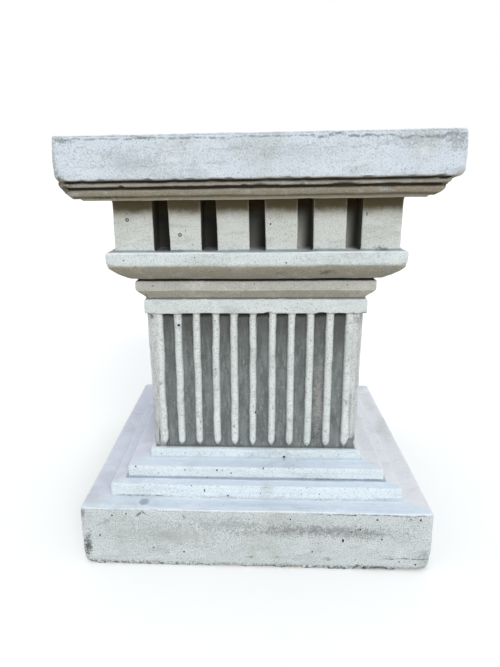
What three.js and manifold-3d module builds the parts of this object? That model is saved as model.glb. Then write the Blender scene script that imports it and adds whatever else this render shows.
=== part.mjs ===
// A short square garden pedestal in the doric style, cast in one piece in pale concrete.
// Millimetres, +Z up. The origin is the middle of the underside, and the front faces -Y.
// Every tier is square in plan and centred on the Z axis.

import * as THREE from 'three';
import { mergeVertices } from 'three/addons/utils/BufferGeometryUtils.js';
import Module from 'manifold-3d';

// Driving dimensions. A half width runs from the axis to a face, a top is a height.
const BASE = { half: 200, top: 74.3, arris: 2 };
const LOWER_STEP = { half: 170.6, foot: 71.5, top: 88.2, arris: 2 };
const UPPER_STEP = { half: 152.8, top: 102.5, arris: 2 };
const THIN_BAND = { half: 128.6, top: 114, arris: 1.5 };
const SHAFT = { half: 120.5, top: 285.3 };
const NECK = { half: 127.2, top: 301.4 };
const GROOVE = { half: 124.6, top: 304.2 };
const FASCIA = { half: 134.8, foot: 314.3, top: 324.6 };
const COVE = { footHalf: 138.5, foot: 327.8, swell: 1.6 };
const BAND = { half: 160.2, foot: 345.3, top: 359.8, arris: 3 };
const TABLETS = { half: 151.8, top: 414.6 };
const CROWN_FILLET = { half: 173, top: 416.6 };
const OVOLO = { footHalf: 174.5, half: 187, top: 425.6, swell: 2 };
const UPPER_FILLET = { half: 191, foot: 428.6, top: 432 };
const QUIRK = { coveHalf: 131.5, lowHalf: 184.5, highHalf: 187 };
const SLAB = { half: 196, foot: 434.8, top: 477, arris: 2, footArris: 2.5 };

// The reeds that stand on each face of the shaft.
const REED = { perFace: 11, spacing: 22.05, radius: 4.6, tipLength: 11, tipClearance: 1.4 };

// The course of tablets under the crown, with a deep slot between each two.
const TABLET = { cornerWidth: 41.8, slotsPerFace: 5, slotWidth: 16, slotDepth: 38 };

// How far a joined solid reaches into the one that carries it.
const EMBED = 1.5;

const ARRIS_STEPS = 3;
const SWELL_STEPS = 4;
const REED_SIDES = 12;
const TIP_STEPS = 4;
const FACES = 4;
const WELD = 1e-4;

const wasm = await Module();
wasm.setup();

/** Turns a closed three.js geometry into a solid that can be joined and cut. */
function solidFrom(geometry) {
  const bare = geometry.clone();
  bare.deleteAttribute('normal');
  bare.deleteAttribute('uv');
  const welded = mergeVertices(bare, WELD);
  const triangles = [];
  const index = welded.index.array;
  for (let i = 0; i < index.length; i += 3) {
    const [a, b, c] = [index[i], index[i + 1], index[i + 2]];
    // On the axis of a lathed form two corners of a triangle fall together.
    if (a !== b && b !== c && c !== a) triangles.push(a, b, c);
  }
  return new wasm.Manifold(new wasm.Mesh({
    numProp: 3,
    vertProperties: new Float32Array(welded.attributes.position.array),
    triVerts: new Uint32Array(triangles),
  }));
}

/** Turns a finished solid back into a three.js geometry. */
function geometryFrom(solid) {
  const mesh = solid.getMesh();
  const geometry = new THREE.BufferGeometry();
  geometry.setAttribute('position', new THREE.BufferAttribute(mesh.vertProperties, mesh.numProp));
  geometry.setIndex(new THREE.BufferAttribute(mesh.triVerts, 1));
  return geometry;
}

/** A top arris rounded to a quarter circle, from the face round to the ledge. */
function topArris(half, top, radius) {
  const points = [];
  for (let i = 0; i <= ARRIS_STEPS; i++) {
    const angle = (i / ARRIS_STEPS) * (Math.PI / 2);
    points.push([half - radius * (1 - Math.cos(angle)), top - radius * (1 - Math.sin(angle))]);
  }
  return points;
}

/** A lower arris rounded to a quarter circle, from the soffit round to the face. */
function footArris(half, foot, radius) {
  const points = [];
  for (let i = 0; i <= ARRIS_STEPS; i++) {
    const angle = (i / ARRIS_STEPS) * (Math.PI / 2);
    points.push([half - radius * (1 - Math.sin(angle)), foot + radius * (1 - Math.cos(angle))]);
  }
  return points;
}

/** A sloping face from one [half, height] to the next, swelling outwards at its middle. */
function swellingSlope(from, to, swell) {
  const run = [to[0] - from[0], to[1] - from[1]];
  const length = Math.hypot(...run);
  const outward = [run[1] / length, -run[0] / length];
  const points = [];
  for (let i = 0; i <= SWELL_STEPS; i++) {
    const t = i / SWELL_STEPS;
    const rise = swell * 4 * t * (1 - t);
    points.push([from[0] + run[0] * t + outward[0] * rise, from[1] + run[1] * t + outward[1] * rise]);
  }
  return points;
}

/** Half of the pedestal's outline, from the underside up: [half width, height]. */
function outline() {
  const step = ({ half, top, arris }, foot) => [[half, foot], ...topArris(half, top, arris)];
  return [
    [0, 0],
    ...step(BASE, 0),
    // The base's ledge falls a little towards the lower step.
    ...step(LOWER_STEP, LOWER_STEP.foot),
    ...step(UPPER_STEP, LOWER_STEP.top),
    ...step(THIN_BAND, UPPER_STEP.top),
    [SHAFT.half, THIN_BAND.top],
    [SHAFT.half, SHAFT.top],
    [NECK.half, SHAFT.top],
    [NECK.half, NECK.top],
    [GROOVE.half, NECK.top],
    [GROOVE.half, GROOVE.top],
    [FASCIA.half, FASCIA.foot],
    [FASCIA.half, FASCIA.top],
    [QUIRK.coveHalf, FASCIA.top],
    [QUIRK.coveHalf, COVE.foot],
    ...swellingSlope([COVE.footHalf, COVE.foot], [BAND.half, BAND.foot], COVE.swell),
    ...topArris(BAND.half, BAND.top, BAND.arris),
    [TABLETS.half - TABLET.slotDepth, BAND.top],
    [TABLETS.half - TABLET.slotDepth, TABLETS.top],
    [CROWN_FILLET.half, TABLETS.top],
    [CROWN_FILLET.half, CROWN_FILLET.top],
    ...swellingSlope([OVOLO.footHalf, CROWN_FILLET.top], [OVOLO.half, OVOLO.top], OVOLO.swell),
    [QUIRK.lowHalf, OVOLO.top],
    [QUIRK.lowHalf, UPPER_FILLET.foot],
    [UPPER_FILLET.half, UPPER_FILLET.foot],
    [UPPER_FILLET.half, UPPER_FILLET.top],
    [QUIRK.highHalf, UPPER_FILLET.top],
    [QUIRK.highHalf, SLAB.foot],
    ...footArris(SLAB.half, SLAB.foot, SLAB.footArris),
    ...topArris(SLAB.half, SLAB.top, SLAB.arris),
    [0, SLAB.top],
  ];
}

/** The square body of the pedestal: its outline carried round four mitred corners. */
function body() {
  const toCorner = Math.SQRT2;
  const profile = outline().map(([half, height]) => new THREE.Vector2(half * toCorner, height));
  const lathe = new THREE.LatheGeometry(profile, FACES, Math.PI / FACES);
  return solidFrom(lathe.rotateX(Math.PI / 2));
}

/** One reed: a round rod with a tongue-shaped tip, half sunk in the face behind it. */
function reed(across) {
  const tipFoot = THIN_BAND.top + REED.tipClearance;
  const profile = [];
  for (let i = 0; i <= TIP_STEPS; i++) {
    const angle = (i / TIP_STEPS) * (Math.PI / 2);
    const height = tipFoot + REED.tipLength * (1 - Math.cos(angle));
    profile.push(new THREE.Vector2(REED.radius * Math.sin(angle), height));
  }
  const head = SHAFT.top + EMBED;
  profile.push(new THREE.Vector2(REED.radius, head), new THREE.Vector2(0, head));
  const lathe = new THREE.LatheGeometry(profile, REED_SIDES, Math.PI / REED_SIDES);
  return lathe.rotateX(Math.PI / 2).translate(across, -SHAFT.half, 0);
}

/** One tablet of the course, from its left edge, reaching a little into band and crown. */
function tablet(left, width, depth) {
  const height = TABLETS.top - BAND.top + 2 * EMBED;
  return new THREE.BoxGeometry(width, depth, height).translate(
    left + width / 2,
    -TABLETS.half + depth / 2,
    BAND.top - EMBED + height / 2,
  );
}

/** What stands on the front face: its reeds, its inner tablets and its left corner block. */
function frontOrnament() {
  const pieces = [];
  for (let i = 0; i < REED.perFace; i++) {
    pieces.push(reed((i - (REED.perFace - 1) / 2) * REED.spacing));
  }
  const { cornerWidth, slotsPerFace, slotWidth, slotDepth } = TABLET;
  const between = 2 * (TABLETS.half - cornerWidth);
  const innerTablets = slotsPerFace - 1;
  const innerWidth = (between - slotsPerFace * slotWidth) / innerTablets;
  for (let i = 0; i < innerTablets; i++) {
    const left = -between / 2 + slotWidth + i * (innerWidth + slotWidth);
    pieces.push(tablet(left, innerWidth, slotDepth + EMBED));
  }
  pieces.push(tablet(-TABLETS.half, cornerWidth, cornerWidth));
  return pieces;
}

/** The whole casting as one solid. */
function casting() {
  let solid = body();
  for (let face = 0; face < FACES; face++) {
    for (const piece of frontOrnament()) {
      solid = solid.add(solidFrom(piece.rotateZ((face * Math.PI) / 2)));
    }
  }
  return solid;
}

const concrete = new THREE.MeshStandardMaterial({ color: 0xc6cccb, roughness: 0.93, metalness: 0 });

const pedestal = new THREE.Mesh(geometryFrom(casting()), concrete);
pedestal.name = 'cast_pedestal';

const group = new THREE.Group();
group.add(pedestal);

export default group;
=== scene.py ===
"""A short square doric garden pedestal, cast in one piece in pale concrete.

The casting is built from its outline, reeds and tablets, turned into an even skin,
weathered like the real one, thinned, and then pitted with air holes. One concrete
finish dresses it. Everything is in metres, +Z up, and the front faces -Y.
"""

from __future__ import annotations

import logging
import math
from dataclasses import dataclass, field
from enum import Enum

import bmesh
import bpy
import numpy as np
from mathutils import Matrix, Vector
from mathutils.bvhtree import BVHTree


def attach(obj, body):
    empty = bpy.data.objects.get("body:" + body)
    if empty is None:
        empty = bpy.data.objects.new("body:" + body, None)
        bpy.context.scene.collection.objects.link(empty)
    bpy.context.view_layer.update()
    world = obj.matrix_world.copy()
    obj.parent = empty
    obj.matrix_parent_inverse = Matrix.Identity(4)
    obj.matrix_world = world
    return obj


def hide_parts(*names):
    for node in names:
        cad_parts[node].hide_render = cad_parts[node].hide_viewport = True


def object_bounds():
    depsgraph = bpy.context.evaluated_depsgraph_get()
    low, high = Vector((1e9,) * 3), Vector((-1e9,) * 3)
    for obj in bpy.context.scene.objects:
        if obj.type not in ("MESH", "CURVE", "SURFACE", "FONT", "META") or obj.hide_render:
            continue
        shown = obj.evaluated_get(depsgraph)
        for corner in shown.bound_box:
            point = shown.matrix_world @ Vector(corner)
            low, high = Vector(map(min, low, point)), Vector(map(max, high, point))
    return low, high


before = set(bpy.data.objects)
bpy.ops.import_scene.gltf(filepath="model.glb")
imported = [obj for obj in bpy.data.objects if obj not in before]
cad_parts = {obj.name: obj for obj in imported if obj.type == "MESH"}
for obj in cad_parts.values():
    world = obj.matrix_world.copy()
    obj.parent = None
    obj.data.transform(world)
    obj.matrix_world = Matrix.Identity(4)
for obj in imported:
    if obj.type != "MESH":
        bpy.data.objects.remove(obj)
CAD_BOX = [list(corner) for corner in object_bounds()]
LOG = logging.getLogger("pedestal")

MM = 0.001
NODE = "cast_pedestal"
SLOT = "cast_concrete"
BODY = "root"
Points = np.ndarray
Outline = list[tuple[float, float]]


class Side(Enum):
    """The four faces of the pedestal, as quarter turns from the front."""

    FRONT = 0
    RIGHT = 1
    BACK = 2
    LEFT = 3

    def turn(self) -> Matrix:
        """Returns the turn that carries the front face to this one."""
        return Matrix.Rotation(self.value * math.pi / 2, 4, "Z")

    def point(self, along: float, outward: float, height: float) -> Vector:
        """Finds a point by its place on this face.

        Args:
            along: Distance to the right of the face's middle, seen from outside.
            outward: Distance from the pedestal's axis.
            height: Height above the ground.

        Returns:
            The point in the pedestal's frame.
        """
        return self.turn() @ Vector((along, -outward, height))

    def direction(self, along: float, outward: float, up: float) -> Vector:
        """Returns the unit direction with these parts along, out of and up this face."""
        return self.point(along, outward, up).normalized()


class Grain:
    """Smooth random values in space, the same on each run."""

    CELLS = 64

    def __init__(self, seed: int) -> None:
        """Draws the table of random values.

        Args:
            seed: Chooses the table.
        """
        draw = np.random.default_rng(seed)
        self.table = draw.uniform(-1, 1, (self.CELLS,) * 3).astype(np.float32)

    def at(self, points: Points, wave: float) -> Points:
        """Reads the field at each point.

        Args:
            points: Rows of x, y, z.
            wave: The size of one lump of the field, in metres.

        Returns:
            One value from -1 to 1 for each point.
        """
        place = points / wave
        cell = np.floor(place).astype(np.int64)
        share = (place - cell).astype(np.float32)
        share = share * share * (3 - 2 * share)
        total = np.zeros(len(points), np.float32)
        for corner in range(8):
            step = np.array([corner & 1, corner >> 1 & 1, corner >> 2 & 1])
            weight = np.prod(np.where(step, share, 1 - share), axis=1)
            i, j, k = ((cell + step) % self.CELLS).T
            total += weight * self.table[i, j, k]
        return total


def ramp(values: Points, low: float, high: float) -> Points:
    """Rises smoothly from 0 at low to 1 at high, and falls if low is the larger."""
    share = np.clip((values - low) / (high - low), 0, 1)
    return share * share * (3 - 2 * share)


@dataclass(frozen=True)
class Tiers:
    """Half widths and heights of the tiers, from the ground up."""

    base_half: float = 199.6 * MM
    base_top: float = 74.3 * MM
    lower_step_half: float = 170.6 * MM
    lower_step_foot: float = 71.5 * MM
    lower_step_top: float = 88.2 * MM
    upper_step_half: float = 152.8 * MM
    upper_step_top: float = 102.5 * MM
    thin_band_half: float = 128.6 * MM
    thin_band_top: float = 114 * MM
    shaft_half: float = 120.5 * MM
    shaft_top: float = 285.3 * MM
    neck_half: float = 127.2 * MM
    neck_top: float = 301.4 * MM
    groove_half: float = 124.6 * MM
    groove_top: float = 304.2 * MM
    fascia_half: float = 134.8 * MM
    fascia_foot: float = 314.3 * MM
    fascia_top: float = 324.6 * MM
    cove_quirk_half: float = 131.5 * MM
    cove_foot: float = 327.8 * MM
    cove_foot_half: float = 138.5 * MM
    cove_swell: float = 1.6 * MM
    band_half: float = 160.2 * MM
    band_foot: float = 345.3 * MM
    band_top: float = 359.8 * MM
    tablet_half: float = 151.8 * MM
    tablet_top: float = 414.6 * MM
    slot_depth: float = 38 * MM
    crown_fillet_half: float = 173 * MM
    crown_fillet_top: float = 416.6 * MM
    ovolo_foot_half: float = 174.5 * MM
    ovolo_half: float = 187 * MM
    ovolo_top: float = 425.6 * MM
    ovolo_swell: float = 2 * MM
    low_quirk_half: float = 184.5 * MM
    upper_fillet_half: float = 191 * MM
    upper_fillet_foot: float = 428.6 * MM
    upper_fillet_top: float = 432 * MM
    high_quirk_half: float = 187 * MM
    slab_half: float = 195.8 * MM
    slab_foot: float = 434.8 * MM
    slab_top: float = 476.9 * MM

    def swelling(self, start: tuple[float, float], end: tuple[float, float], swell: float) -> Outline:
        """Draws a sloping face that swells outwards at its middle.

        Args:
            start: Half width and height of the slope's foot.
            end: Half width and height of its head.
            swell: How far the middle stands out of the straight line.

        Returns:
            The points of the slope.
        """
        steps = 6
        run = (end[0] - start[0], end[1] - start[1])
        length = math.hypot(*run)
        points = []
        for i in range(steps + 1):
            t = i / steps
            rise = swell * 4 * t * (1 - t)
            half = start[0] + run[0] * t + run[1] / length * rise
            points.append((half, start[1] + run[1] * t - run[0] / length * rise))
        return points

    def outline(self) -> Outline:
        """Draws the pedestal's outline from the underside up.

        Returns:
            Half width and height of each point. The first and last lie on the axis.
        """
        slot_ground = self.tablet_half - self.slot_depth
        cove = self.swelling(
            (self.cove_foot_half, self.cove_foot), (self.band_half, self.band_foot), self.cove_swell
        )
        ovolo = self.swelling(
            (self.ovolo_foot_half, self.crown_fillet_top),
            (self.ovolo_half, self.ovolo_top),
            self.ovolo_swell,
        )
        return [
            (0, 0),
            (self.base_half, 0),
            (self.base_half, self.base_top),
            (self.lower_step_half, self.lower_step_foot),
            (self.lower_step_half, self.lower_step_top),
            (self.upper_step_half, self.lower_step_top),
            (self.upper_step_half, self.upper_step_top),
            (self.thin_band_half, self.upper_step_top),
            (self.thin_band_half, self.thin_band_top),
            (self.shaft_half, self.thin_band_top),
            (self.shaft_half, self.shaft_top),
            (self.neck_half, self.shaft_top),
            (self.neck_half, self.neck_top),
            (self.groove_half, self.neck_top),
            (self.groove_half, self.groove_top),
            (self.fascia_half, self.fascia_foot),
            (self.fascia_half, self.fascia_top),
            (self.cove_quirk_half, self.fascia_top),
            (self.cove_quirk_half, self.cove_foot),
            *cove,
            (self.band_half, self.band_top),
            (slot_ground, self.band_top),
            (slot_ground, self.tablet_top),
            (self.crown_fillet_half, self.tablet_top),
            (self.crown_fillet_half, self.crown_fillet_top),
            *ovolo,
            (self.low_quirk_half, self.ovolo_top),
            (self.low_quirk_half, self.upper_fillet_foot),
            (self.upper_fillet_half, self.upper_fillet_foot),
            (self.upper_fillet_half, self.upper_fillet_top),
            (self.high_quirk_half, self.upper_fillet_top),
            (self.high_quirk_half, self.slab_foot),
            (self.slab_half, self.slab_foot),
            (self.slab_half, self.slab_top),
            (0, self.slab_top),
        ]


TIERS = Tiers()


class Shapes:
    """Small helpers that start, place and join mesh pieces."""

    @staticmethod
    def spun(outline: Outline, sides: int) -> bmesh.types.BMesh:
        """Carries an outline round the upright axis.

        Args:
            outline: Radius and height of each point, starting and ending on the axis.
            sides: Number of sides of the turned form.

        Returns:
            A closed mesh whose first edge lies towards +X and -Y.
        """
        shape = bmesh.new()
        start = Matrix.Rotation(-math.pi / 4, 4, "Z")
        chain = [shape.verts.new(start @ Vector((r, 0, height))) for r, height in outline]
        for low, high in zip(chain, chain[1:]):
            shape.edges.new((low, high))
        Shapes.turned(shape, sides)
        return shape

    @staticmethod
    def turned(shape: bmesh.types.BMesh, steps: int) -> None:
        """Turns the mesh's edges once round the upright axis, which closes them to a solid.

        Args:
            shape: The mesh, which holds the edges alone.
            steps: Number of steps of the full turn.
        """
        bmesh.ops.spin(
            shape,
            geom=shape.verts[:] + shape.edges[:],
            cent=(0, 0, 0),
            axis=(0, 0, 1),
            dvec=(0, 0, 0),
            angle=math.tau,
            steps=steps,
            use_merge=True,
            use_normal_flip=False,
            use_duplicate=False,
        )
        bmesh.ops.remove_doubles(shape, verts=shape.verts, dist=0.001 * MM)
        bmesh.ops.recalc_face_normals(shape, faces=shape.faces)

    @staticmethod
    def block(size: Vector, centre: Vector) -> bmesh.types.BMesh:
        """Makes a box.

        Args:
            size: Its width, depth and height.
            centre: Its middle.

        Returns:
            The box's mesh.
        """
        shape = bmesh.new()
        matrix = Matrix.Translation(centre) @ Matrix.Diagonal((*size, 1))
        bmesh.ops.create_cube(shape, size=1, matrix=matrix)
        return shape

    @staticmethod
    def pour(into: bmesh.types.BMesh, piece: bmesh.types.BMesh, place: Matrix) -> None:
        """Adds a copy of one mesh to another.

        Args:
            into: The mesh that takes the copy.
            piece: The mesh that is copied.
            place: Where the copy goes.
        """
        carrier = bpy.data.meshes.new("carrier")
        piece.to_mesh(carrier)
        carrier.transform(place)
        into.from_mesh(carrier)
        bpy.data.meshes.remove(carrier)

    @staticmethod
    def standing(name: str, shape: bmesh.types.BMesh) -> bpy.types.Object:
        """Puts a mesh into the scene as an object at the origin.

        Args:
            name: The object's name.
            shape: Its mesh, which is freed.

        Returns:
            The new object.
        """
        mesh = bpy.data.meshes.new(name)
        shape.to_mesh(mesh)
        shape.free()
        return Shapes.shown(name, mesh)

    @staticmethod
    def shown(name: str, mesh: bpy.types.Mesh) -> bpy.types.Object:
        """Puts a finished mesh into the scene as an object at the origin."""
        piece = bpy.data.objects.new(name, mesh)
        bpy.context.scene.collection.objects.link(piece)
        return piece

    @staticmethod
    def settled(piece: bpy.types.Object) -> bpy.types.Mesh:
        """Makes the mesh that an object's modifiers give, and takes them off it.

        Args:
            piece: The object with its modifiers.

        Returns:
            The new mesh.
        """
        graph = bpy.context.evaluated_depsgraph_get()
        mesh = bpy.data.meshes.new_from_object(piece.evaluated_get(graph))
        piece.modifiers.clear()
        return mesh

    @staticmethod
    def places(mesh: bpy.types.Mesh) -> Points:
        """Returns the mesh's points as rows of x, y, z."""
        flat = np.empty(len(mesh.vertices) * 3, np.float32)
        mesh.vertices.foreach_get("co", flat)
        return flat.reshape(-1, 3)


@dataclass
class Reeds:
    """The half-round reeds that stand on each face of the shaft."""

    per_face: int = 11
    spacing: float = 22 * MM
    front_shift: float = -1.3 * MM
    radius: float = 4.7 * MM
    proud: float = 0.5 * MM
    tip_length: float = 11 * MM
    tip_clearance: float = 1.4 * MM
    lean: float = math.radians(0.14)
    sides: int = 28

    def one(self, stretch: float, tip: float) -> bmesh.types.BMesh:
        """Builds one reed with a pointed tip, standing on the axis.

        Args:
            stretch: Its width as a share of the usual one.
            tip: The length of its tip.

        Returns:
            The reed's mesh.
        """
        steps = 8
        radius = self.radius * stretch
        foot = TIERS.thin_band_top + self.tip_clearance
        outline = []
        for i in range(steps + 1):
            share = i / steps
            outline.append((radius * math.sin(share * math.pi / 2) ** 0.8, foot + tip * share))
        head = TIERS.shaft_top + 3 * MM
        return Shapes.spun([*outline, (radius, head), (0, head)], self.sides)

    def build(self, into: bmesh.types.BMesh, draw: np.random.Generator) -> None:
        """Adds the reeds of all four faces.

        Args:
            into: The mesh that takes them.
            draw: Draws the small differences between them.
        """
        middle = (TIERS.thin_band_top + TIERS.shaft_top) / 2
        for side in Side:
            shift = self.front_shift if side is Side.FRONT else draw.normal(0, 0.8) * MM
            for i in range(self.per_face):
                along = (i - (self.per_face - 1) / 2) * self.spacing + shift
                along += draw.normal(0, 0.35) * MM
                reed = self.one(draw.uniform(0.94, 1.05), self.tip_length * draw.uniform(0.85, 1.1))
                place = Matrix.Translation((along, -TIERS.shaft_half - self.proud, middle))
                lean = Matrix.Rotation(draw.normal(0, self.lean), 4, "Y")
                Shapes.pour(into, reed, side.turn() @ place @ lean @ Matrix.Translation((0, 0, -middle)))
                reed.free()


@dataclass(frozen=True)
class Fill:
    """Mortar left in one corner of the shaft, beside the last reed of a face."""

    side: Side
    hand: int
    foot: float
    head: float
    proud: float
    past: float = 0.0


@dataclass
class CornerFills:
    """The mortar that closes the corners of the shaft over some of their height."""

    inner: float = 111 * MM
    fills: tuple[Fill, ...] = (
        Fill(Side.FRONT, -1, 116 * MM, 286 * MM, 3.4 * MM, 4.6 * MM),
        Fill(Side.FRONT, 1, 128 * MM, 286 * MM, 3.4 * MM, 0.4 * MM),
        Fill(Side.RIGHT, 1, 190 * MM, 286 * MM, 2.6 * MM, 0.6 * MM),
        Fill(Side.BACK, -1, 150 * MM, 262 * MM, 2.6 * MM),
        Fill(Side.BACK, 1, 118 * MM, 205 * MM, 2.2 * MM, 0.4 * MM),
        Fill(Side.LEFT, -1, 214 * MM, 286 * MM, 3 * MM, 1.2 * MM),
    )

    def build(self, into: bmesh.types.BMesh) -> None:
        """Adds each fill as a prism that thins out downwards, which the weathering softens.

        Args:
            into: The mesh that takes them.
        """
        face = TIERS.shaft_half
        for fill in self.fills:
            edge = face + fill.past
            section = [
                (self.inner, face - 3 * MM),
                (self.inner, face + fill.proud),
                (face - 2.5 * MM, face + 0.9 * fill.proud),
                (edge, face + 0.3 * fill.proud),
                (edge, face - 9 * MM),
                (face - 2 * MM, face - 11 * MM),
            ]
            shape = bmesh.new()
            ring = [shape.verts.new((fill.hand * along, -out, fill.foot)) for along, out in section]
            floor = bmesh.ops.contextual_create(shape, geom=ring)["faces"]
            raised = bmesh.ops.extrude_face_region(shape, geom=floor)["geom"]
            head = [part for part in raised if isinstance(part, bmesh.types.BMVert)]
            bmesh.ops.translate(shape, verts=head, vec=(0, 0, fill.head - fill.foot))
            bmesh.ops.translate(shape, verts=ring, vec=(-fill.hand * 0.3 * fill.past, 0.35 * fill.proud, 0))
            bmesh.ops.recalc_face_normals(shape, faces=shape.faces)
            Shapes.pour(into, shape, fill.side.turn())
            shape.free()

    def cover(self, points: Points) -> Points:
        """Tells which points of the shaft are mortar.

        Args:
            points: Rows of x, y, z.

        Returns:
            The share of mortar at each point, from 0 to 1.
        """
        share = np.zeros(len(points), np.float32)
        for fill in self.fills:
            local = points @ np.array(fill.side.turn().to_3x3())
            along, outward, height = local[:, 0] * fill.hand, -local[:, 1], local[:, 2]
            here = ramp(along, self.inner + 1 * MM, self.inner + 4 * MM)
            here *= ramp(outward, TIERS.shaft_half - 12 * MM, TIERS.shaft_half - 6 * MM)
            here *= ramp(height, fill.foot - 2 * MM, fill.foot + 8 * MM)
            here *= (height < fill.head + 1 * MM) & (outward < TIERS.neck_half + 2 * MM)
            share = np.maximum(share, here)
        return share


@dataclass
class CrownCorners:
    """Slurry that fills the quirks of the crown at its four corners."""

    reach: float = 6 * MM
    sink: float = 2.6 * MM
    full: Outline = field(
        default_factory=lambda: [(180 * MM, 416.8 * MM), (188.4 * MM, 425.5 * MM), (195 * MM, 438 * MM)]
    )
    lean: Outline = field(
        default_factory=lambda: [(178 * MM, 416.8 * MM), (187.4 * MM, 425.5 * MM), (195 * MM, 437 * MM)]
    )

    def build(self, into: bmesh.types.BMesh) -> None:
        """Adds one wedge in each corner.

        Args:
            into: The mesh that takes them.
        """
        for side in Side:
            profile = self.full if side in (Side.FRONT, Side.BACK) else self.lean
            wedge = bmesh.new()
            for half, height in profile:
                near, far = half - self.sink, half - self.reach
                for x, y in ((half, half), (far, near), (near, far), (far, far)):
                    wedge.verts.new((-x, -y, height))
            bmesh.ops.convex_hull(wedge, input=wedge.verts)
            bmesh.ops.recalc_face_normals(wedge, faces=wedge.faces)
            Shapes.pour(into, wedge, side.turn())
            wedge.free()


@dataclass
class TabletCourse:
    """The course of tablets under the crown, with a deep slot between each two."""

    corner_width: float = 41.8 * MM
    slots: int = 5
    slot_width: float = 16 * MM
    left_draft: float = 1.6 * MM
    right_draft: float = -0.4 * MM
    embed: float = 3 * MM
    slant: float = 0.35 * MM
    shifts: dict[Side, float] = field(
        default_factory=lambda: {
            Side.FRONT: 2.2 * MM,
            Side.RIGHT: -0.8 * MM,
            Side.BACK: 1.1 * MM,
            Side.LEFT: 0.4 * MM,
        }
    )

    def block(self, left: float, width: float, depth: float, draw: np.random.Generator) -> bmesh.types.BMesh:
        """Builds one tablet on the front face, a little narrower at its foot.

        Args:
            left: Its left edge.
            width: Its width.
            depth: How far it reaches back.
            draw: Draws the slant of its edges.

        Returns:
            The tablet's mesh.
        """
        height = TIERS.tablet_top - TIERS.band_top + 2 * self.embed
        bottom = TIERS.band_top - self.embed
        centre = Vector((left + width / 2, -TIERS.tablet_half + depth / 2, bottom + height / 2))
        shape = Shapes.block(Vector((width, depth, height)), centre)
        for hand, draft in ((-1, self.left_draft), (1, self.right_draft)):
            foot = [v for v in shape.verts if v.co.z < centre.z and (v.co.x - centre.x) * hand > 0]
            outermost = abs(centre.x + hand * width / 2) > TIERS.tablet_half - 1 * MM
            inwards = 0 if outermost else draft + draw.normal(0, self.slant)
            bmesh.ops.translate(shape, verts=foot, vec=(-hand * inwards, 0, 0))
        return shape

    def build(self, into: bmesh.types.BMesh, draw: np.random.Generator) -> None:
        """Adds the tablets of all four faces and the four corner blocks.

        Args:
            into: The mesh that takes them.
            draw: Draws the small differences between them.
        """
        between = 2 * (TIERS.tablet_half - self.corner_width)
        inner = self.slots - 1
        width = (between - self.slots * self.slot_width) / inner
        for side in Side:
            shift = self.shifts[side]
            before = self.shifts[Side((side.value + 3) % len(Side))]
            pieces = [
                self.block(
                    -between / 2 + shift + self.slot_width + i * (width + self.slot_width),
                    width,
                    TIERS.slot_depth + self.embed,
                    draw,
                )
                for i in range(inner)
            ]
            corner = self.corner_width
            pieces.append(self.block(-TIERS.tablet_half, corner + shift, corner - before, draw))
            for piece in pieces:
                Shapes.pour(into, piece, side.turn())
                piece.free()


@dataclass(frozen=True)
class RaggedEdge:
    """A horizontal arris whose line wanders and is nibbled upwards in places."""

    height: float
    inner: float
    outer: float
    reach: float
    wander: float
    nibble: float
    wave: float
    sparse: float = 0.25

    def lift(self, grain: Grain, spots: Points, half: Points, height: Points) -> Points:
        """Works out how far each point moves up.

        Args:
            grain: The random field.
            spots: Each point's place along the unrolled faces.
            half: Its half width.
            height: Its height.

        Returns:
            The rise of each point, in metres.
        """
        lift = np.zeros(len(spots), np.float32)
        away = np.abs(height - self.height)
        close = np.flatnonzero((away < self.reach) & (half > self.inner) & (half < self.outer))
        row = spots[close] * [1, 1, 0] + [0, 0, self.height * 7]
        wander = grain.at(row, self.wave * 2.7) * self.wander
        bites = np.maximum(0, grain.at(row + [5, 0, 0], self.wave) - self.sparse) / (1 - self.sparse)
        near = 1 - ramp(away[close], self.reach * 0.3, self.reach)
        lift[close] = near * (wander + bites * self.nibble)
        return lift


@dataclass(frozen=True)
class Rounding:
    """A corner of a tier worn round, by radii in millimetres across and up."""

    side: Side
    half: float
    height: float
    up: int
    across: float
    tall: float

    def soften(self, points: Points) -> Points:
        """Pulls the points outside the rounded corner back onto it.

        Args:
            points: Rows of x, y, z.

        Returns:
            The moved points.
        """
        corner = np.array(self.side.point(-self.half, self.half, self.height))
        outward = np.array([*np.sign(corner[:2]), self.up])
        radii = np.array([self.across, self.across, self.tall]) * MM
        moved = points.copy()
        close = np.flatnonzero(np.all(np.abs(points - corner) < 2.5 * radii, axis=1))
        beyond = (points[close] - corner) * outward / radii + 1
        share = (1 - ramp(1 - beyond.min(axis=1), 0.9, 2.4)) * (1 - ramp(beyond[:, 2], 1, 1.8))
        beyond = np.minimum(beyond, 1)
        kept = np.maximum(beyond, 0)
        length = np.linalg.norm(kept, axis=1)
        pulled = np.where(beyond > 0, kept / np.maximum(length, 1)[:, None], beyond)
        moved[close] += (pulled - beyond) * radii * outward * share[:, None]
        return moved


@dataclass(frozen=True)
class Chip:
    """A piece broken off the casting, as the bite of an ellipsoid."""

    spot: Vector
    inward: Vector
    radii: Vector
    bite: float
    broken: float = 1.0


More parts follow.
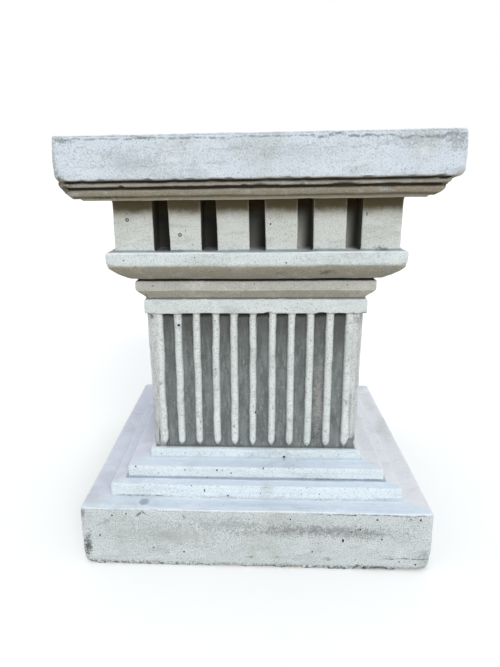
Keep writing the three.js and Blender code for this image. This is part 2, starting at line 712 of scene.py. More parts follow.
class Weathering:
    """Takes the freshly made skin through the casting's faults and years of wear."""

    CREASE_SHARE = 0.12
    RELAX_ROUNDS = 26

    def __init__(self, seed: int) -> None:
        """Prepares the random fields.

        Args:
            seed: Chooses them.
        """
        self.coarse = Grain(seed)
        self.fine = Grain(seed + 1)
        self.draw = np.random.default_rng(seed + 2)
        t = TIERS
        base, ovolo = t.base_half, t.ovolo_half + 3 * MM
        thin_band, neck, band = (half + 2 * MM for half in (t.thin_band_half, t.neck_half, t.band_half))
        self.ragged = [
            RaggedEdge(0, base - 6 * MM, 1, 8 * MM, 0.5 * MM, 2.8 * MM, 14 * MM, 0.15),
            RaggedEdge(0, base - 6 * MM, 1, 5 * MM, 0.5 * MM, 2.6 * MM, 4.5 * MM, 0.1),
            RaggedEdge(t.base_top, base - 6 * MM, 1, 5 * MM, 0.4 * MM, -0.9 * MM, 13 * MM, 0.35),
            RaggedEdge(t.upper_step_top, t.upper_step_half - 4 * MM, base, 5 * MM, 0.3 * MM, 0, 20 * MM),
            RaggedEdge(t.thin_band_top, t.shaft_half, thin_band, 5 * MM, 0.4 * MM, 0, 16 * MM),
            RaggedEdge(t.shaft_top, t.shaft_half, neck, 6 * MM, 0.5 * MM, 1.9 * MM, 12 * MM),
            RaggedEdge(t.neck_top, t.groove_half, neck, 3 * MM, 0.4 * MM, 1.3 * MM, 6 * MM),
            RaggedEdge(t.band_foot, t.cove_foot_half, band, 6 * MM, 0.5 * MM, 0.7 * MM, 16 * MM, 0.4),
            RaggedEdge(t.ovolo_top, t.low_quirk_half, ovolo, 2 * MM, 0.3 * MM, -0.9 * MM, 9 * MM),
            RaggedEdge(t.upper_fillet_foot, t.low_quirk_half, 1, 2.4 * MM, 0.3 * MM, 1.7 * MM, 8 * MM, 0.35),
            RaggedEdge(t.slab_foot, t.high_quirk_half, 1, 5 * MM, 0.4 * MM, 1.1 * MM, 9 * MM, 0.4),
            RaggedEdge(t.slab_top, t.slab_half - 5 * MM, 1, 5 * MM, 0.3 * MM, -1.1 * MM, 9 * MM, 0.3),
        ]

    @staticmethod
    def unrolled(points: Points) -> tuple[Points, Points, Points]:
        """Finds where points lie on the four faces.

        Args:
            points: Rows of x, y, z.

        Returns:
            Rows of the distance along the face, a number of the face's own and the height;
            each point's half width; and the number of its face.
        """
        x, y = points[:, 0], points[:, 1]
        sideways = np.abs(x) > np.abs(y)
        side = np.where(sideways, np.where(x > 0, 1, 3), np.where(y < 0, 0, 2))
        along = np.choose(side, [x, y, -x, -y])
        spots = np.stack([along, side * 0.37, points[:, 2]], axis=1)
        return spots, np.maximum(np.abs(x), np.abs(y)), side

    def relaxed(self, piece: bpy.types.Object) -> Points:
        """Returns the piece's points after many rounds of smoothing."""
        modifier = piece.modifiers.new("relax", "SMOOTH")
        modifier.factor = 0.5
        modifier.iterations = self.RELAX_ROUNDS
        mesh = Shapes.settled(piece)
        places = Shapes.places(mesh)
        bpy.data.meshes.remove(mesh)
        return places

    def worn(self, fresh: Points) -> Points:
        """Works out how far the wear has gone at each point, as a share of the full rounding."""
        height = fresh[:, 2]
        wear = 0.55 + 0.45 * self.coarse.at(fresh + 3, 24 * MM) + 0.35 * self.fine.at(fresh, 6 * MM)
        shaft = ramp(height, TIERS.thin_band_top - 3 * MM, TIERS.thin_band_top + 3 * MM)
        shaft *= 1 - ramp(height, TIERS.shaft_top - 6 * MM, TIERS.shaft_top)
        crown = ramp(height, TIERS.tablet_top - 2 * MM, TIERS.tablet_top + 1 * MM)
        crown *= 1 - ramp(height, TIERS.slab_foot - 2 * MM, TIERS.slab_foot + 1 * MM)
        top = ramp(height, TIERS.slab_top - 5 * MM, TIERS.slab_top - 1 * MM)
        return np.clip(wear, 0.15, 1.2) * (1 - 0.8 * shaft) * (1 - 0.6 * crown) * (1 - 0.5 * top)

    def warped(self, points: Points) -> Points:
        """Lets the whole casting wander a little, as a wet casting does."""
        held = ramp(points[:, 2], 0, 10 * MM)[:, None]
        moves = [
            0.4 * MM * self.coarse.at(points + [shift, 0, 0], 90 * MM)
            + 0.3 * MM * self.coarse.at(points + [0, shift, 0], 28 * MM)
            for shift in (0.0, 1.3, 2.6)
        ]
        return points + np.stack(moves, axis=1) * (0.4 + 0.6 * held)

    @staticmethod
    def offset(points: Points) -> Points:
        """Moves crown, slab and tablets off the axis a little, as the mould's parts stood.

        Args:
            points: The skin's points.

        Returns:
            The moved points. The slab also widens towards its foot.
        """
        t = TIERS
        moved = points.copy()
        x, y, height = points.T
        half = np.maximum(np.abs(x), np.abs(y))
        foot = t.tablet_top - 0.6 * MM
        heights = [foot - 0.4 * MM, foot, t.upper_fillet_top, t.slab_foot, t.slab_top]
        aside = np.interp(height, heights, [0, -2.7 * MM, -2.7 * MM, 1.1 * MM, 1.1 * MM])
        moved[:, 0] += aside * ramp(half, t.tablet_half, t.crown_fillet_half)
        course = (height > t.band_top) & (height < t.tablet_top)
        moved[:, 0] += 1.4 * MM * course * ramp(np.abs(x), 138 * MM, 150 * MM)
        flare = np.interp(height, [t.upper_fillet_top, t.slab_foot, t.slab_top], [0, 1.4 * MM, -0.8 * MM])
        flare *= ramp(half, 170 * MM, 194 * MM) / np.maximum(half, 1 * MM)
        moved[:, :2] += points[:, :2] * flare[:, None]
        return moved

    def swayed(self, points: Points, spacing: float) -> Points:
        """Lets each reed wander to the sides and swell and thin along its length.

        Args:
            points: The skin's points.
            spacing: The distance from one reed to the next.

        Returns:
            The moved points.
        """
        spots, half, side = self.unrolled(points)
        height = points[:, 2]
        share = ramp(height, TIERS.thin_band_top + 1 * MM, TIERS.thin_band_top + 9 * MM)
        share *= 1 - ramp(height, TIERS.shaft_top - 8 * MM, TIERS.shaft_top - 1 * MM)
        share *= ramp(half, TIERS.shaft_half + 0.2 * MM, TIERS.shaft_half + 1.6 * MM)
        share *= half < TIERS.neck_half + 3 * MM
        reed = np.round(spots[:, 0] / spacing)
        row = np.stack([reed * 0.071, side * 0.37, height], axis=1)
        sway = 0.45 * MM * self.coarse.at(row, 30 * MM) + 0.25 * MM * self.fine.at(row, 11 * MM)
        swell = 0.35 * MM * self.coarse.at(row + 5, 15 * MM)
        across = np.array([[1, 0, 0], [0, 1, 0], [-1, 0, 0], [0, -1, 0]], np.float32)[side]
        outward = np.array([[0, -1, 0], [1, 0, 0], [0, 1, 0], [-1, 0, 0]], np.float32)[side]
        return points + across * (sway * share)[:, None] + outward * (swell * share)[:, None]

    def frayed(self, points: Points) -> Points:
        """Lets the horizontal arrises wander and nibbles at them."""
        spots, half, _ = self.unrolled(points)
        lift = np.zeros(len(points), np.float32)
        for edge in self.ragged:
            lift += edge.lift(self.coarse, spots, half, points[:, 2])
        moved = points.copy()
        moved[:, 2] += lift
        return moved

    def rounded(self, points: Points) -> Points:
        """Wears the corners of base, band and slab round, the front ones as they show."""
        t = TIERS
        for side in Side:
            left, right = side is Side.FRONT, side is Side.RIGHT
            foot = (7, 13) if right else (7, 8) if left else (6, 7)
            slab_foot = (6.5, 7) if left else (7, 8)
            for corner in (
                Rounding(side, t.base_half, 0, -1, *foot),
                Rounding(side, t.base_half, t.base_top, 1, 3, 3),
                Rounding(side, t.band_half, t.band_foot, -1, 4, 5),
                Rounding(side, t.ovolo_half, t.crown_fillet_top, -1, 4 if left else 7, 9),
                Rounding(side, t.upper_fillet_half, t.upper_fillet_foot, -1, 3 if left else 6, 4),
                Rounding(side, t.slab_half, t.slab_foot, -1, *slab_foot),
                Rounding(side, t.slab_half, t.slab_top, 1, 3, 2.5),
            ):
                points = corner.soften(points)
        return points

    def chips(self, reeds: Reeds) -> list[Chip]:
        """Lists the breaks: those that show from the front, and scattered small ones.

        Args:
            reeds: The reeds, which have nicks.

        Returns:
            The chips in the order in which they are cut.
        """
        t = TIERS
        base, slab, band = t.base_half, t.slab_half, t.band_half
        found = [
            self.bite((-base + 4 * MM, base, 23 * MM), (0.35, -1, 0), (8, 4, 17), 1.1),
            self.bite((141 * MM, base, 0), (0, -1, 1), (26, 9, 6), 2.6),
            self.bite((122 * MM, base, 0), (0, -1, 1), (7, 7, 7), 2.6),
            self.bite((-82 * MM, base, 0), (0, -1, 1), (9, 6, 5), 1.8),
            self.bite((slab, slab, t.slab_top), (-1, -1, -1), (9, 9, 7), 1.6, 0.3),
            self.bite((111 * MM, t.neck_half, t.shaft_top), (0, -1, 1), (6, 6, 3), 1.7, 0.2),
            self.bite((96 * MM, t.neck_half, t.shaft_top), (0, -1, 1), (7, 6, 3), 1.3, 0.2),
        ]
        for along in (-149, -103, -61, -24, 32, 107, 148):
            found.append(self.bite((along * MM, slab, t.slab_foot), (0, -0.4, 1), (6, 6, 3), 1.5, 0))
        for along in (-76, -62, -50, -4, 22, 46, 98, 137, 151):
            place = (along * MM, t.upper_fillet_half, t.upper_fillet_foot)
            found.append(self.bite(place, (0, -0.5, 1), (4, 4, 2.4), 1.1, 0))
        for side in Side:
            for half, height, up, strength, reach, count in (
                (slab, t.slab_top, -1, 0.6, 0.19, 30),
                (base, t.base_top, -1, 0.35, 0.19, 22),
                (base, 0, 1, 1.1, 0.195, 40),
            ):
                for along in np.linspace(-reach, reach, count):
                    found.append(self.flake(side, along, half, height, up, strength))
            for along in np.linspace(-0.15, 0.15, 12):
                found.append(self.flake(side, along, band, t.band_foot, 1, 0.4))
                found.append(self.flake(side, along, t.fascia_half, t.fascia_foot, 1, 0.35))
                found.append(self.flake(side, along, t.upper_step_half, t.upper_step_top, -1, 0.3))
            for middle, half in ((t.base_top / 2, base), (0.453, slab), (0.352, band)):
                for _ in range(4):
                    height = middle + self.draw.uniform(-0.4, 0.4) * 0.05
                    found.append(self.corner_flake(side, half, height))
            for reed in range(reeds.per_face):
                for _ in range(5):
                    found.append(self.nick(side, (reed - (reeds.per_face - 1) / 2) * reeds.spacing))
        return found

    @staticmethod
    def bite(
        place: tuple[float, float, float],
        inward: tuple[float, float, float],
        radii: tuple[float, float, float],
        deep: float,
        broken: float = 1.0,
    ) -> Chip:
        """Places one break on the front face.

        Args:
            place: Where it is along, out of and up the face.
            inward: The way in along, out of and up the face.
            radii: The three radii of the bite, in millimetres.
            deep: Its depth, in millimetres.
            broken: How far it shows the broken core.

        Returns:
            The break.
        """
        spot = Side.FRONT.point(*place)
        return Chip(spot, Side.FRONT.direction(*inward), Vector(radii) * MM, deep * MM, broken)

    def flake(self, side: Side, along: float, half: float, height: float, up: int, strength: float) -> Chip:
        """Draws one small break on a horizontal arris.

        Args:
            side: The face that it is on.
            along: About where it is along the face.
            half: The arris's half width.
            height: The arris's height.
            up: 1 if the solid lies above the arris, -1 if below.
            strength: The size of the break as a share of the largest.

        Returns:
            The break.
        """
        along += self.draw.uniform(-8, 8) * MM
        length = self.draw.uniform(2.5, 9) * MM * (0.5 + strength)
        bite = self.draw.uniform(0.3, 2.1) * MM * strength
        deep = self.draw.uniform(3, 6) * MM
        return Chip(
            side.point(along, half, height),
            side.direction(self.draw.uniform(-0.3, 0.3), -1, up * self.draw.uniform(0.6, 1.3)),
            side.turn().to_3x3() @ Vector((length, deep, deep)),
            bite,
            0.5 * strength,
        )

    def corner_flake(self, side: Side, half: float, height: float) -> Chip:
        """Draws one small break on an upright corner.

        Args:
            side: The face whose right-hand corner it is on.
            half: The tier's half width.
            height: The height of the break.

        Returns:
            The break.
        """
        size = self.draw.uniform(3, 6) * MM
        return Chip(
            side.point(half, half, height),
            side.direction(-1, -1, self.draw.uniform(-0.3, 0.3)),
            Vector((size, size, size * self.draw.uniform(1, 2.2))),
            self.draw.uniform(0.3, 1.4) * MM,
            0.2,
        )

    def nick(self, side: Side, middle: float) -> Chip:
        """Draws one small nick in a reed.

        Args:
            side: The face that the reed is on.
            middle: The reed's place along the face.

        Returns:
            The nick.
        """
        along = middle + self.draw.uniform(-4, 3) * MM
        height = self.draw.uniform(TIERS.thin_band_top + 5 * MM, TIERS.shaft_top - 5 * MM)
        radii = (self.draw.uniform(1.5, 2.6), self.draw.uniform(1.5, 2.5), self.draw.uniform(1.5, 5))
        return Chip(
            side.point(along, TIERS.shaft_half + 4.6 * MM, height),
            side.direction(self.draw.uniform(-0.6, 0.6), -1, 0),
            side.turn().to_3x3() @ (Vector(radii) * MM),
            self.draw.uniform(0.3, 1.1) * MM,
            0.5,
        )

    def bitten(self, points: Points, chips: list[Chip]) -> tuple[Points, Points]:
        """Cuts the chips out of the skin.

        Args:
            points: The skin's points.
            chips: The breaks.

        Returns:
            The moved points, and how far each shows the broken core, from 0 to 1.
        """
        moved = points.copy()
        broken = np.zeros(len(points), np.float32)
        order = np.argsort(points[:, 2])
        heights = points[order, 2]
        for chip in chips:
            radii = np.abs(np.array(chip.radii))
            inward = np.array(chip.inward)
            scale = 1 / np.linalg.norm(inward / radii)
            centre = np.array(chip.spot) - inward * (scale - chip.bite)
            tall = radii[2] * 1.3 + 6 * MM
            first, last = np.searchsorted(heights, [centre[2] - tall, centre[2] + tall])
            level = order[first:last]
            close = level[np.all(np.abs(moved[level] - centre) < radii * 1.3, axis=1)]
            here = points[close]
            rough = 0.22 * self.fine.at(here, 2.6 * MM) + 0.16 * self.coarse.at(here, 7 * MM)
            uneven = 1 + rough[:, None] * max(0.3, chip.broken)
            local = (moved[close] - centre) / (radii * uneven)
            step = inward / radii
            a = step @ step
            b = local @ step
            c = np.einsum("ij,ij->i", local, local) - 1
            inside = (c < 0) & (b > -0.2)
            depth = np.where(inside, (-b + np.sqrt(np.maximum(b * b - a * c, 0))) / a, 0)
            moved[close] += depth[:, None] * inward
            broken[close] = np.maximum(broken[close], ramp(depth, 0, 0.5 * MM) * chip.broken)
        return moved, broken

    def apply(self, piece: bpy.types.Object, reeds: Reeds, fills: CornerFills) -> None:
        """Weathers the skin in place and records what each point shows.

        Args:
            piece: The casting's even skin.
            reeds: The reeds, which sway a little.
            fills: The mortar in the shaft's corners, which the finish tells apart.
        """
        mesh = piece.data
        fresh = Shapes.places(mesh)
        wide = self.relaxed(piece)
        normal = np.empty(len(mesh.vertices) * 3, np.float32)
        mesh.vertices.foreach_get("normal", normal)
        normal = normal.reshape(-1, 3)
        sunk = np.einsum("ij,ij->i", wide - fresh, normal)
        wear = self.worn(fresh)
        # An arris wears round, but a crease stays as crisp as it was cast.
        held = np.where(sunk > 0, self.CREASE_SHARE, 1) * wear
        points = fresh + (wide - fresh) * held[:, None]
        filled = fills.cover(points)
        points = self.rounded(self.frayed(self.swayed(points, reeds.spacing)))
        points, broken = self.bitten(self.offset(self.warped(points)), self.chips(reeds))
        skin = 0.18 * self.fine.at(points, 11 * MM) + 0.12 * self.fine.at(points + 1, 4.2 * MM)
        skin += filled * 0.6 * self.coarse.at(points + 2, 9 * MM)
        points += normal * (skin * MM * (0.4 + 0.6 * ramp(points[:, 2], 0, 8 * MM)))[:, None]
        low, high = (np.array(corner) for corner in CAD_BOX)
        points = np.clip(points, low + [0.05 * MM, 0.05 * MM, 0], high - 0.05 * MM)
        mesh.vertices.foreach_set("co", points.astype(np.float32).ravel())
        self.note(mesh, "worn", ramp(-sunk, 0.1 * MM, 1.2 * MM) * np.clip(wear, 0, 1))
        self.note(mesh, "hollow", ramp(sunk, 0.1 * MM, 1.4 * MM))
        self.note(mesh, "broken", broken)
        self.note(mesh, "filled", filled)
        mesh.update()

    @staticmethod
    def note(mesh: bpy.types.Mesh, name: str, values: Points) -> None:
        """Writes one number per point for the finish to read."""
        layer = mesh.attributes.new(name, "FLOAT", "POINT")
        layer.data.foreach_set("value", np.asarray(values, np.float32))


@dataclass(frozen=True)
class Panel:
    """A stretch of the surface that has air holes."""

    height: float
    tall: float
    half: float
    wide: float
    per_face: int
    largest: float
    tilt: float = 0.0


@dataclass(frozen=True)
class AirHole:
    """One air hole: a point outside the surface, the way in, and its size."""

    spot: Vector
    inward: Vector
    radius: float
    tall: float = 1.0


@dataclass
class AirHoles:
    """The air holes that a casting shows on its faces, cut into the skin."""

    seed: int = 12
    smallest: float = 0.38 * MM
    ring_tone: float = 0.8
    panels: tuple[Panel, ...] = (
        Panel(44 * MM, 56 * MM, 200 * MM, 390 * MM, 74, 1.15 * MM),
        Panel(9 * MM, 12 * MM, 200 * MM, 380 * MM, 16, 1.3 * MM),
        Panel(75 * MM, 0, 186 * MM, 360 * MM, 10, 0.7 * MM, math.pi / 2),
        Panel(80 * MM, 12 * MM, 171 * MM, 330 * MM, 16, 0.9 * MM),
        Panel(87.6 * MM, 0, 170 * MM, 326 * MM, 16, 1.0 * MM, math.pi / 4),
        Panel(95 * MM, 12 * MM, 153 * MM, 296 * MM, 14, 0.9 * MM),
        Panel(101.9 * MM, 0, 152.2 * MM, 290 * MM, 16, 1.1 * MM, math.pi / 4),
        Panel(109 * MM, 9 * MM, 129 * MM, 250 * MM, 16, 0.9 * MM),
        Panel(200 * MM, 150 * MM, 126 * MM, 230 * MM, 56, 0.55 * MM),
        Panel(294 * MM, 13 * MM, 127 * MM, 248 * MM, 18, 0.8 * MM),
        Panel(320 * MM, 11 * MM, 135 * MM, 262 * MM, 12, 0.8 * MM),
        Panel(336 * MM, 12 * MM, 152 * MM, 300 * MM, 12, 0.9 * MM),
        Panel(352 * MM, 11 * MM, 160 * MM, 310 * MM, 20, 1.0 * MM),
        Panel(387 * MM, 48 * MM, 152 * MM, 298 * MM, 34, 0.8 * MM),
        Panel(454 * MM, 32 * MM, 196 * MM, 384 * MM, 30, 0.6 * MM),
    )
    chosen: tuple[tuple[float, float, float, float, float], ...] = (
        (16.8, 152, 388.2, 1.0, 1.0),
        (116.3, 152, 397.4, 0.9, 2.4),
        (-88, 126, 271.5, 1.6, 1.1),
        (-45.7, 126, 276.3, 0.9, 1.0),
        (109, 126, 273.9, 0.8, 1.0),
        (1.3, 126, 161.4, 1.2, 1.5),
        (36.3, 129, 105, 1.5, 0.9),
        (-83.3, 153, 98.5, 0.8, 1.6),
        (-44.7, 153, 99.1, 1.0, 1.2),
        (-38.5, 153, 99, 0.9, 1.0),
        (-27.9, 153, 95.4, 1.0, 1.0),
        (-58.5, 171, 82, 0.75, 4.2),
        (-30.9, 171, 75.5, 1.4, 0.8),
        (100.7, 200, 38.2, 1.3, 2.0),
        (144.1, 200, 40.6, 1.0, 1.5),
        (-81.3, 200, 18.5, 1.2, 1.0),
        (41, 200, 64.5, 1.0, 1.2),
        (137.5, 200, 66, 1.3, 1.1),
        (185, 200, 67, 1.2, 1.3),
        (113, 200, 71, 1.3, 0.7),
    )
    rings: tuple[tuple[float, float], ...] = ((-135.2, 393.9), (-79.2, 377.7))

    def holes(self, draw: np.random.Generator) -> list[AirHole]:
        """Draws where the air holes are.

        Args:
            draw: Draws places and sizes.

        Returns:
            The holes, the listed ones first.
        """
        found = []
        for along, half, height, radius, tall in self.chosen:
            outside = Side.FRONT.point(along * MM, half * MM + 6 * MM, height * MM)
            found.append(AirHole(outside, Side.FRONT.direction(0, -1, 0), radius * MM, tall))
        for side in Side:
            for panel in self.panels:
                inward = side.direction(0, -math.cos(panel.tilt), -math.sin(panel.tilt))
                for _ in range(panel.per_face):
                    along = draw.uniform(-0.5, 0.5) * panel.wide
                    height = panel.height + draw.uniform(-0.5, 0.5) * panel.tall
                    radius = self.smallest + (panel.largest - self.smallest) * draw.power(0.45) ** 2
                    spot = side.point(along, panel.half, height) - inward * 6 * MM
                    found.append(AirHole(spot, inward, radius))
        return found

    def punches(self, skin: BVHTree) -> tuple[bmesh.types.BMesh, int]:
        """Builds the solids that are taken out of the casting.

        Args:
            skin: The casting's surface.

        Returns:
            All the solids in one mesh, none touching another, and how many of its faces,
            counted from the first, belong to air holes and not to ring marks.
        """
        draw = np.random.default_rng(self.seed)
        punches = bmesh.new()
        taken: list[tuple[Vector, float]] = []
        for hole in self.holes(draw):
            turn = draw.uniform(0, math.tau) if hole.tall == 1 else 0
            wide = draw.uniform(0.75, 1.15, 2)
            hit, normal, _, _ = skin.ray_cast(hole.spot, hole.inward, 16 * MM)
            size = hole.radius * hole.tall
            if hit is None or any((hit - other).length < 1.5 * (size + more) for other, more in taken):
                continue
            taken.append((hit, size))
            facing = normal.to_track_quat("Z", "Y").to_matrix().to_4x4()
            place = Matrix.Translation(hit + normal * -0.25 * hole.radius) @ facing
            place = place @ Matrix.Rotation(turn, 4, "Z")
            place = place @ Matrix.Diagonal((wide[0], wide[1] * hole.tall, 1.25, 1))
            finer = 2 if hole.radius > 0.9 * MM else 1
            bmesh.ops.create_icosphere(punches, subdivisions=finer, radius=hole.radius, matrix=place)
        pitted = len(punches.faces)
        for along, height in self.rings:
            self.ring(punches, skin, along * MM, height * MM)
        return punches, pitted

    def ring(self, punches: bmesh.types.BMesh, skin: BVHTree, along: float, height: float) -> None:
        """Adds the round groove of a flattened bubble on a tablet.

        Args:
            punches: The mesh that takes it.
            skin: The casting's surface.
            along: Its place along the front face.
            height: Its height.
        """
        inward = Side.FRONT.direction(0, -1, 0)
        hit, _, _, _ = skin.ray_cast(Side.FRONT.point(along, 160 * MM, height), inward, 16 * MM)
        if hit is None:
            return
        ring = bmesh.new()
        circle = bmesh.ops.create_circle(ring, cap_ends=False, segments=8, radius=0.5 * MM)["verts"]
        bmesh.ops.rotate(ring, verts=circle, cent=(0, 0, 0), matrix=Matrix.Rotation(math.pi / 2, 3, "X"))
        bmesh.ops.translate(ring, verts=circle, vec=(1.6 * MM, 0, 0))
        Shapes.turned(ring, 20)
        Shapes.pour(punches, ring, Matrix.Translation(hit) @ Matrix.Rotation(math.pi / 2, 4, "X"))
        ring.free()

    def cut(self, piece: bpy.types.Object) -> None:
        """Takes the air holes out of the casting.

        Args:
            piece: The casting.
        """
        shape = bmesh.new()
        shape.from_mesh(piece.data)
        skin = BVHTree.FromBMesh(shape)
        shape.free()
        punches, pitted = self.punches(skin)
        punch = Shapes.standing("air_hole_punches", punches)
        tones = np.full(len(punch.data.polygons), self.ring_tone, np.float32)
        tones[:pitted] = 1
        solid = np.zeros(len(piece.data.polygons), np.float32)
        for mesh, values in ((piece.data, solid), (punch.data, tones)):
            layer = mesh.attributes.new("pore", "FLOAT", "FACE")
            layer.data.foreach_set("value", values)
        modifier = piece.modifiers.new("air holes", "BOOLEAN")
        modifier.operation = "DIFFERENCE"
        modifier.solver = "MANIFOLD"
        modifier.object = punch
        piece.data = Shapes.settled(piece)
        bpy.data.objects.remove(punch)


@dataclass
class Casting:
    """The whole pedestal: one solid of cast concrete."""

    seed: int = 7
    voxel: float = 1.05 * MM
    quick_voxel: float = 2.2 * MM
    triangles: int = 138_000
    quick_triangles: int = 90_000
    crease_angle: float = math.radians(48)
    reeds: Reeds = field(default_factory=Reeds)
    fills: CornerFills = field(default_factory=CornerFills)
    tablets: TabletCourse = field(default_factory=TabletCourse)
    corners: CrownCorners = field(default_factory=CrownCorners)
    holes: AirHoles = field(default_factory=AirHoles)

    def formed(self) -> bpy.types.Object:
        """Puts the outline, reeds, fills and tablets together.

        Returns:
            An object whose closed parts overlap where they are one.
        """
        draw = np.random.default_rng(self.seed)
        corner = [(half * math.sqrt(2), height) for half, height in TIERS.outline()]
        shape = Shapes.spun(corner, len(Side))
        self.reeds.build(shape, draw)
        self.fills.build(shape)
        self.tablets.build(shape, draw)
        self.corners.build(shape)
        return Shapes.standing(NODE + "_form", shape)

    def skinned(self, form: bpy.types.Object) -> bpy.types.Object:
        """Gives the form one even skin.

        Args:
            form: The overlapping parts, which are removed.

        Returns:
            The casting with an even mesh.
        """
        remesh = form.modifiers.new("skin", "REMESH")
        remesh.mode = "VOXEL"
        remesh.voxel_size = self.voxel
        piece = Shapes.shown("weathered_pedestal", Shapes.settled(form))
        bpy.data.objects.remove(form)
        return piece

    def thinned(self, piece: bpy.types.Object) -> None:
        """Leaves triangles only where the surface turns.

        Args:
            piece: The weathered casting.
        """
        target = self.triangles
        thin = piece.modifiers.new("thin", "DECIMATE")
        thin.ratio = min(1.0, target / (2 * len(piece.data.polygons)))
        thin.use_collapse_triangulate = True
        piece.data = Shapes.settled(piece)

    def build(self) -> bpy.types.Object:
        """Builds, weathers and pits the casting.

        Returns:
            The finished object, riding on the pedestal's body.
        """
        piece = self.skinned(self.formed())
        LOG.info("skin: %d points", len(piece.data.vertices))
        Weathering(self.seed + 10).apply(piece, self.reeds, self.fills)
        self.thinned(piece)
        LOG.info("thinned: %d triangles", len(piece.data.polygons))
        self.holes.cut(piece)
        piece.data.name = piece.name
        piece.data.shade_smooth()
        piece.data.set_sharp_from_angle(angle=self.crease_angle)
        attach(piece, BODY)
        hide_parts(NODE)
        return piece


Link = bpy.types.NodeSocket
Tone = tuple[int, int, int]


def srgb(red: int, green: int, blue: int) -> tuple[float, float, float, float]:
    """Turns a colour as a screen shows it, 0 to 255, into the shader's linear one."""
    linear = [((c / 255 + 0.055) / 1.055) ** 2.4 if c > 10 else c / 255 / 12.92 for c in (red, green, blue)]
    return (*linear, 1.0)


class Sheet:
    """A node tree with short calls for the nodes that the finishes use."""

    def __init__(self, tree: bpy.types.NodeTree) -> None:
        """Starts on an empty tree.

        Args:
            tree: The tree, which is cleared.
        """
        self.tree = tree
        tree.nodes.clear()

    def node(self, kind: str, **settings: object) -> bpy.types.Node:
        """Adds a node and sets its properties."""
        made = self.tree.nodes.new("ShaderNode" + kind)
        for name, value in settings.items():
            setattr(made, name, value)
        return made

    def feed(self, socket: bpy.types.NodeSocket, value: object) -> None:
        """Links a socket if the value is one, and else sets it as a number or colour."""
        if isinstance(value, bpy.types.NodeSocket):
            self.tree.links.new(value, socket)
        else:
            socket.default_value = value

    def math(self, operation: str, *values: object) -> Link:
        """Adds a sum, product or the like of up to three values."""
        made = self.node("Math", operation=operation)
        for socket, value in zip(made.inputs, values):
            self.feed(socket, value)
        return made.outputs[0]

    def product(self, *values: object) -> Link:
        """Multiplies any number of values."""
        total = values[0]
        for value in values[1:]:
            total = self.math("MULTIPLY", total, value)
        return total

    def step(self, value: object, low: float, high: float) -> Link:
        """Rises smoothly from 0 at low to 1 at high, and falls if low is the larger."""
        falls = low > high
        made = self.node("MapRange", interpolation_type="SMOOTHSTEP")
        self.feed(made.inputs["Value"], value)
        made.inputs["From Min"].default_value = min(low, high)
        made.inputs["From Max"].default_value = max(low, high)
        made.inputs["To Min"].default_value = 1.0 if falls else 0.0
        made.inputs["To Max"].default_value = 0.0 if falls else 1.0
        return made.outputs["Result"]

    def between(self, value: object, low: float, high: float, soft: float) -> Link:
        """Gives 1 between low and high, and 0 outside, over a soft edge."""
        rises = self.step(value, low - soft, low + soft)
        return self.product(rises, self.step(value, high + soft, high - soft))

    def noise(
        self, place: Link, wave: float, detail: float = 2.0, rough: float = 0.5, twist: float = 0.0
    ) -> Link:
        """Adds a noise whose lumps are about one wave across."""
        made = self.node("TexNoise")
        self.feed(made.inputs["Vector"], place)
        made.inputs["Scale"].default_value = 1 / wave
        made.inputs["Detail"].default_value = detail
        made.inputs["Roughness"].default_value = rough
        made.inputs["Distortion"].default_value = twist
        return made.outputs["Fac"]

    def stretched(self, place: Link, scale: tuple[float, float, float], shift: float = 0.0) -> Link:
        """Stretches or shifts the place that a pattern reads."""
        made = self.node("Mapping")
        self.feed(made.inputs["Vector"], place)
        made.inputs["Scale"].default_value = scale
        made.inputs["Location"].default_value = (shift, shift, shift)
        return made.outputs[0]

    def distance(self, first: Link, second: tuple[float, float, float]) -> Link:
        """Measures how far a place is from a fixed point."""
        made = self.node("VectorMath", operation="DISTANCE")
        self.feed(made.inputs[0], first)
        made.inputs[1].default_value = second
        return made.outputs["Value"]

    def parts(self, vector: Link) -> list[Link]:
        """Takes a vector apart into x, y and z."""
        made = self.node("SeparateXYZ")
        self.feed(made.inputs[0], vector)
        return list(made.outputs)

    def mixed(self, share: object, first: object, second: object, blend: str = "MIX") -> Link:
        """Mixes two colours."""
        made = self.node("Mix", data_type="RGBA", blend_type=blend, clamp_factor=True)
        self.feed(made.inputs["Factor"], share)
        self.feed(made.inputs["A"], first)
        self.feed(made.inputs["B"], second)
        return made.outputs["Result"]

    def over(self, colour: Link, tone: Tone, *shares: object) -> Link:
        """Lays a tone over a colour, by the product of the shares."""
        return self.mixed(self.product(*shares), colour, srgb(*tone))

    def noted(self, name: str) -> Link:
        """Reads a number that the mesh carries."""
        return self.node("Attribute", attribute_name=name).outputs["Fac"]


@dataclass(frozen=True)
class Zone:
    """The colour of the upright faces from a height, in millimetres, up to the next zone."""

    foot: float
    tone: Tone


@dataclass(frozen=True)
class Line:
    """A line all round the casting, in millimetres: painted shade in a crease, partly grime, or a light
    arris, partly worn and partly painted highlight.
    """

    half: float
    height: float
    reach: float
    strength: float
    tone: Tone = (62, 60, 54)


@dataclass(frozen=True)
class Stain:
    """A mark with a soft, grainy edge: its middle and its radii in millimetres."""

    middle: tuple[float, float, float]
    size: tuple[float, float, float]
    strength: float
    tone: Tone = (84, 88, 88)
    turn: float = 0.0
    uneven: float = 0.5


@dataclass(frozen=True)
class Streak:
    """A thin broken line along the front at one height, in millimetres."""

    height: float
    thick: float
    start: float
    end: float
    strength: float
    wander: float = 1.5
    tone: Tone = (70, 74, 74)


@dataclass(frozen=True)
class Spot:
    """What the finish knows of a point of the surface.

    It holds the place and its parts, how far the surface faces up, down and to the
    sides, and three noises, from two centimetres across down to the grit.
    """

    place: Link
    x: Link
    y: Link
    height: Link
    half: Link
    above: Link
    under: Link
    upright: Link
    patchy: Link
    uneven: Link
    grit: Link


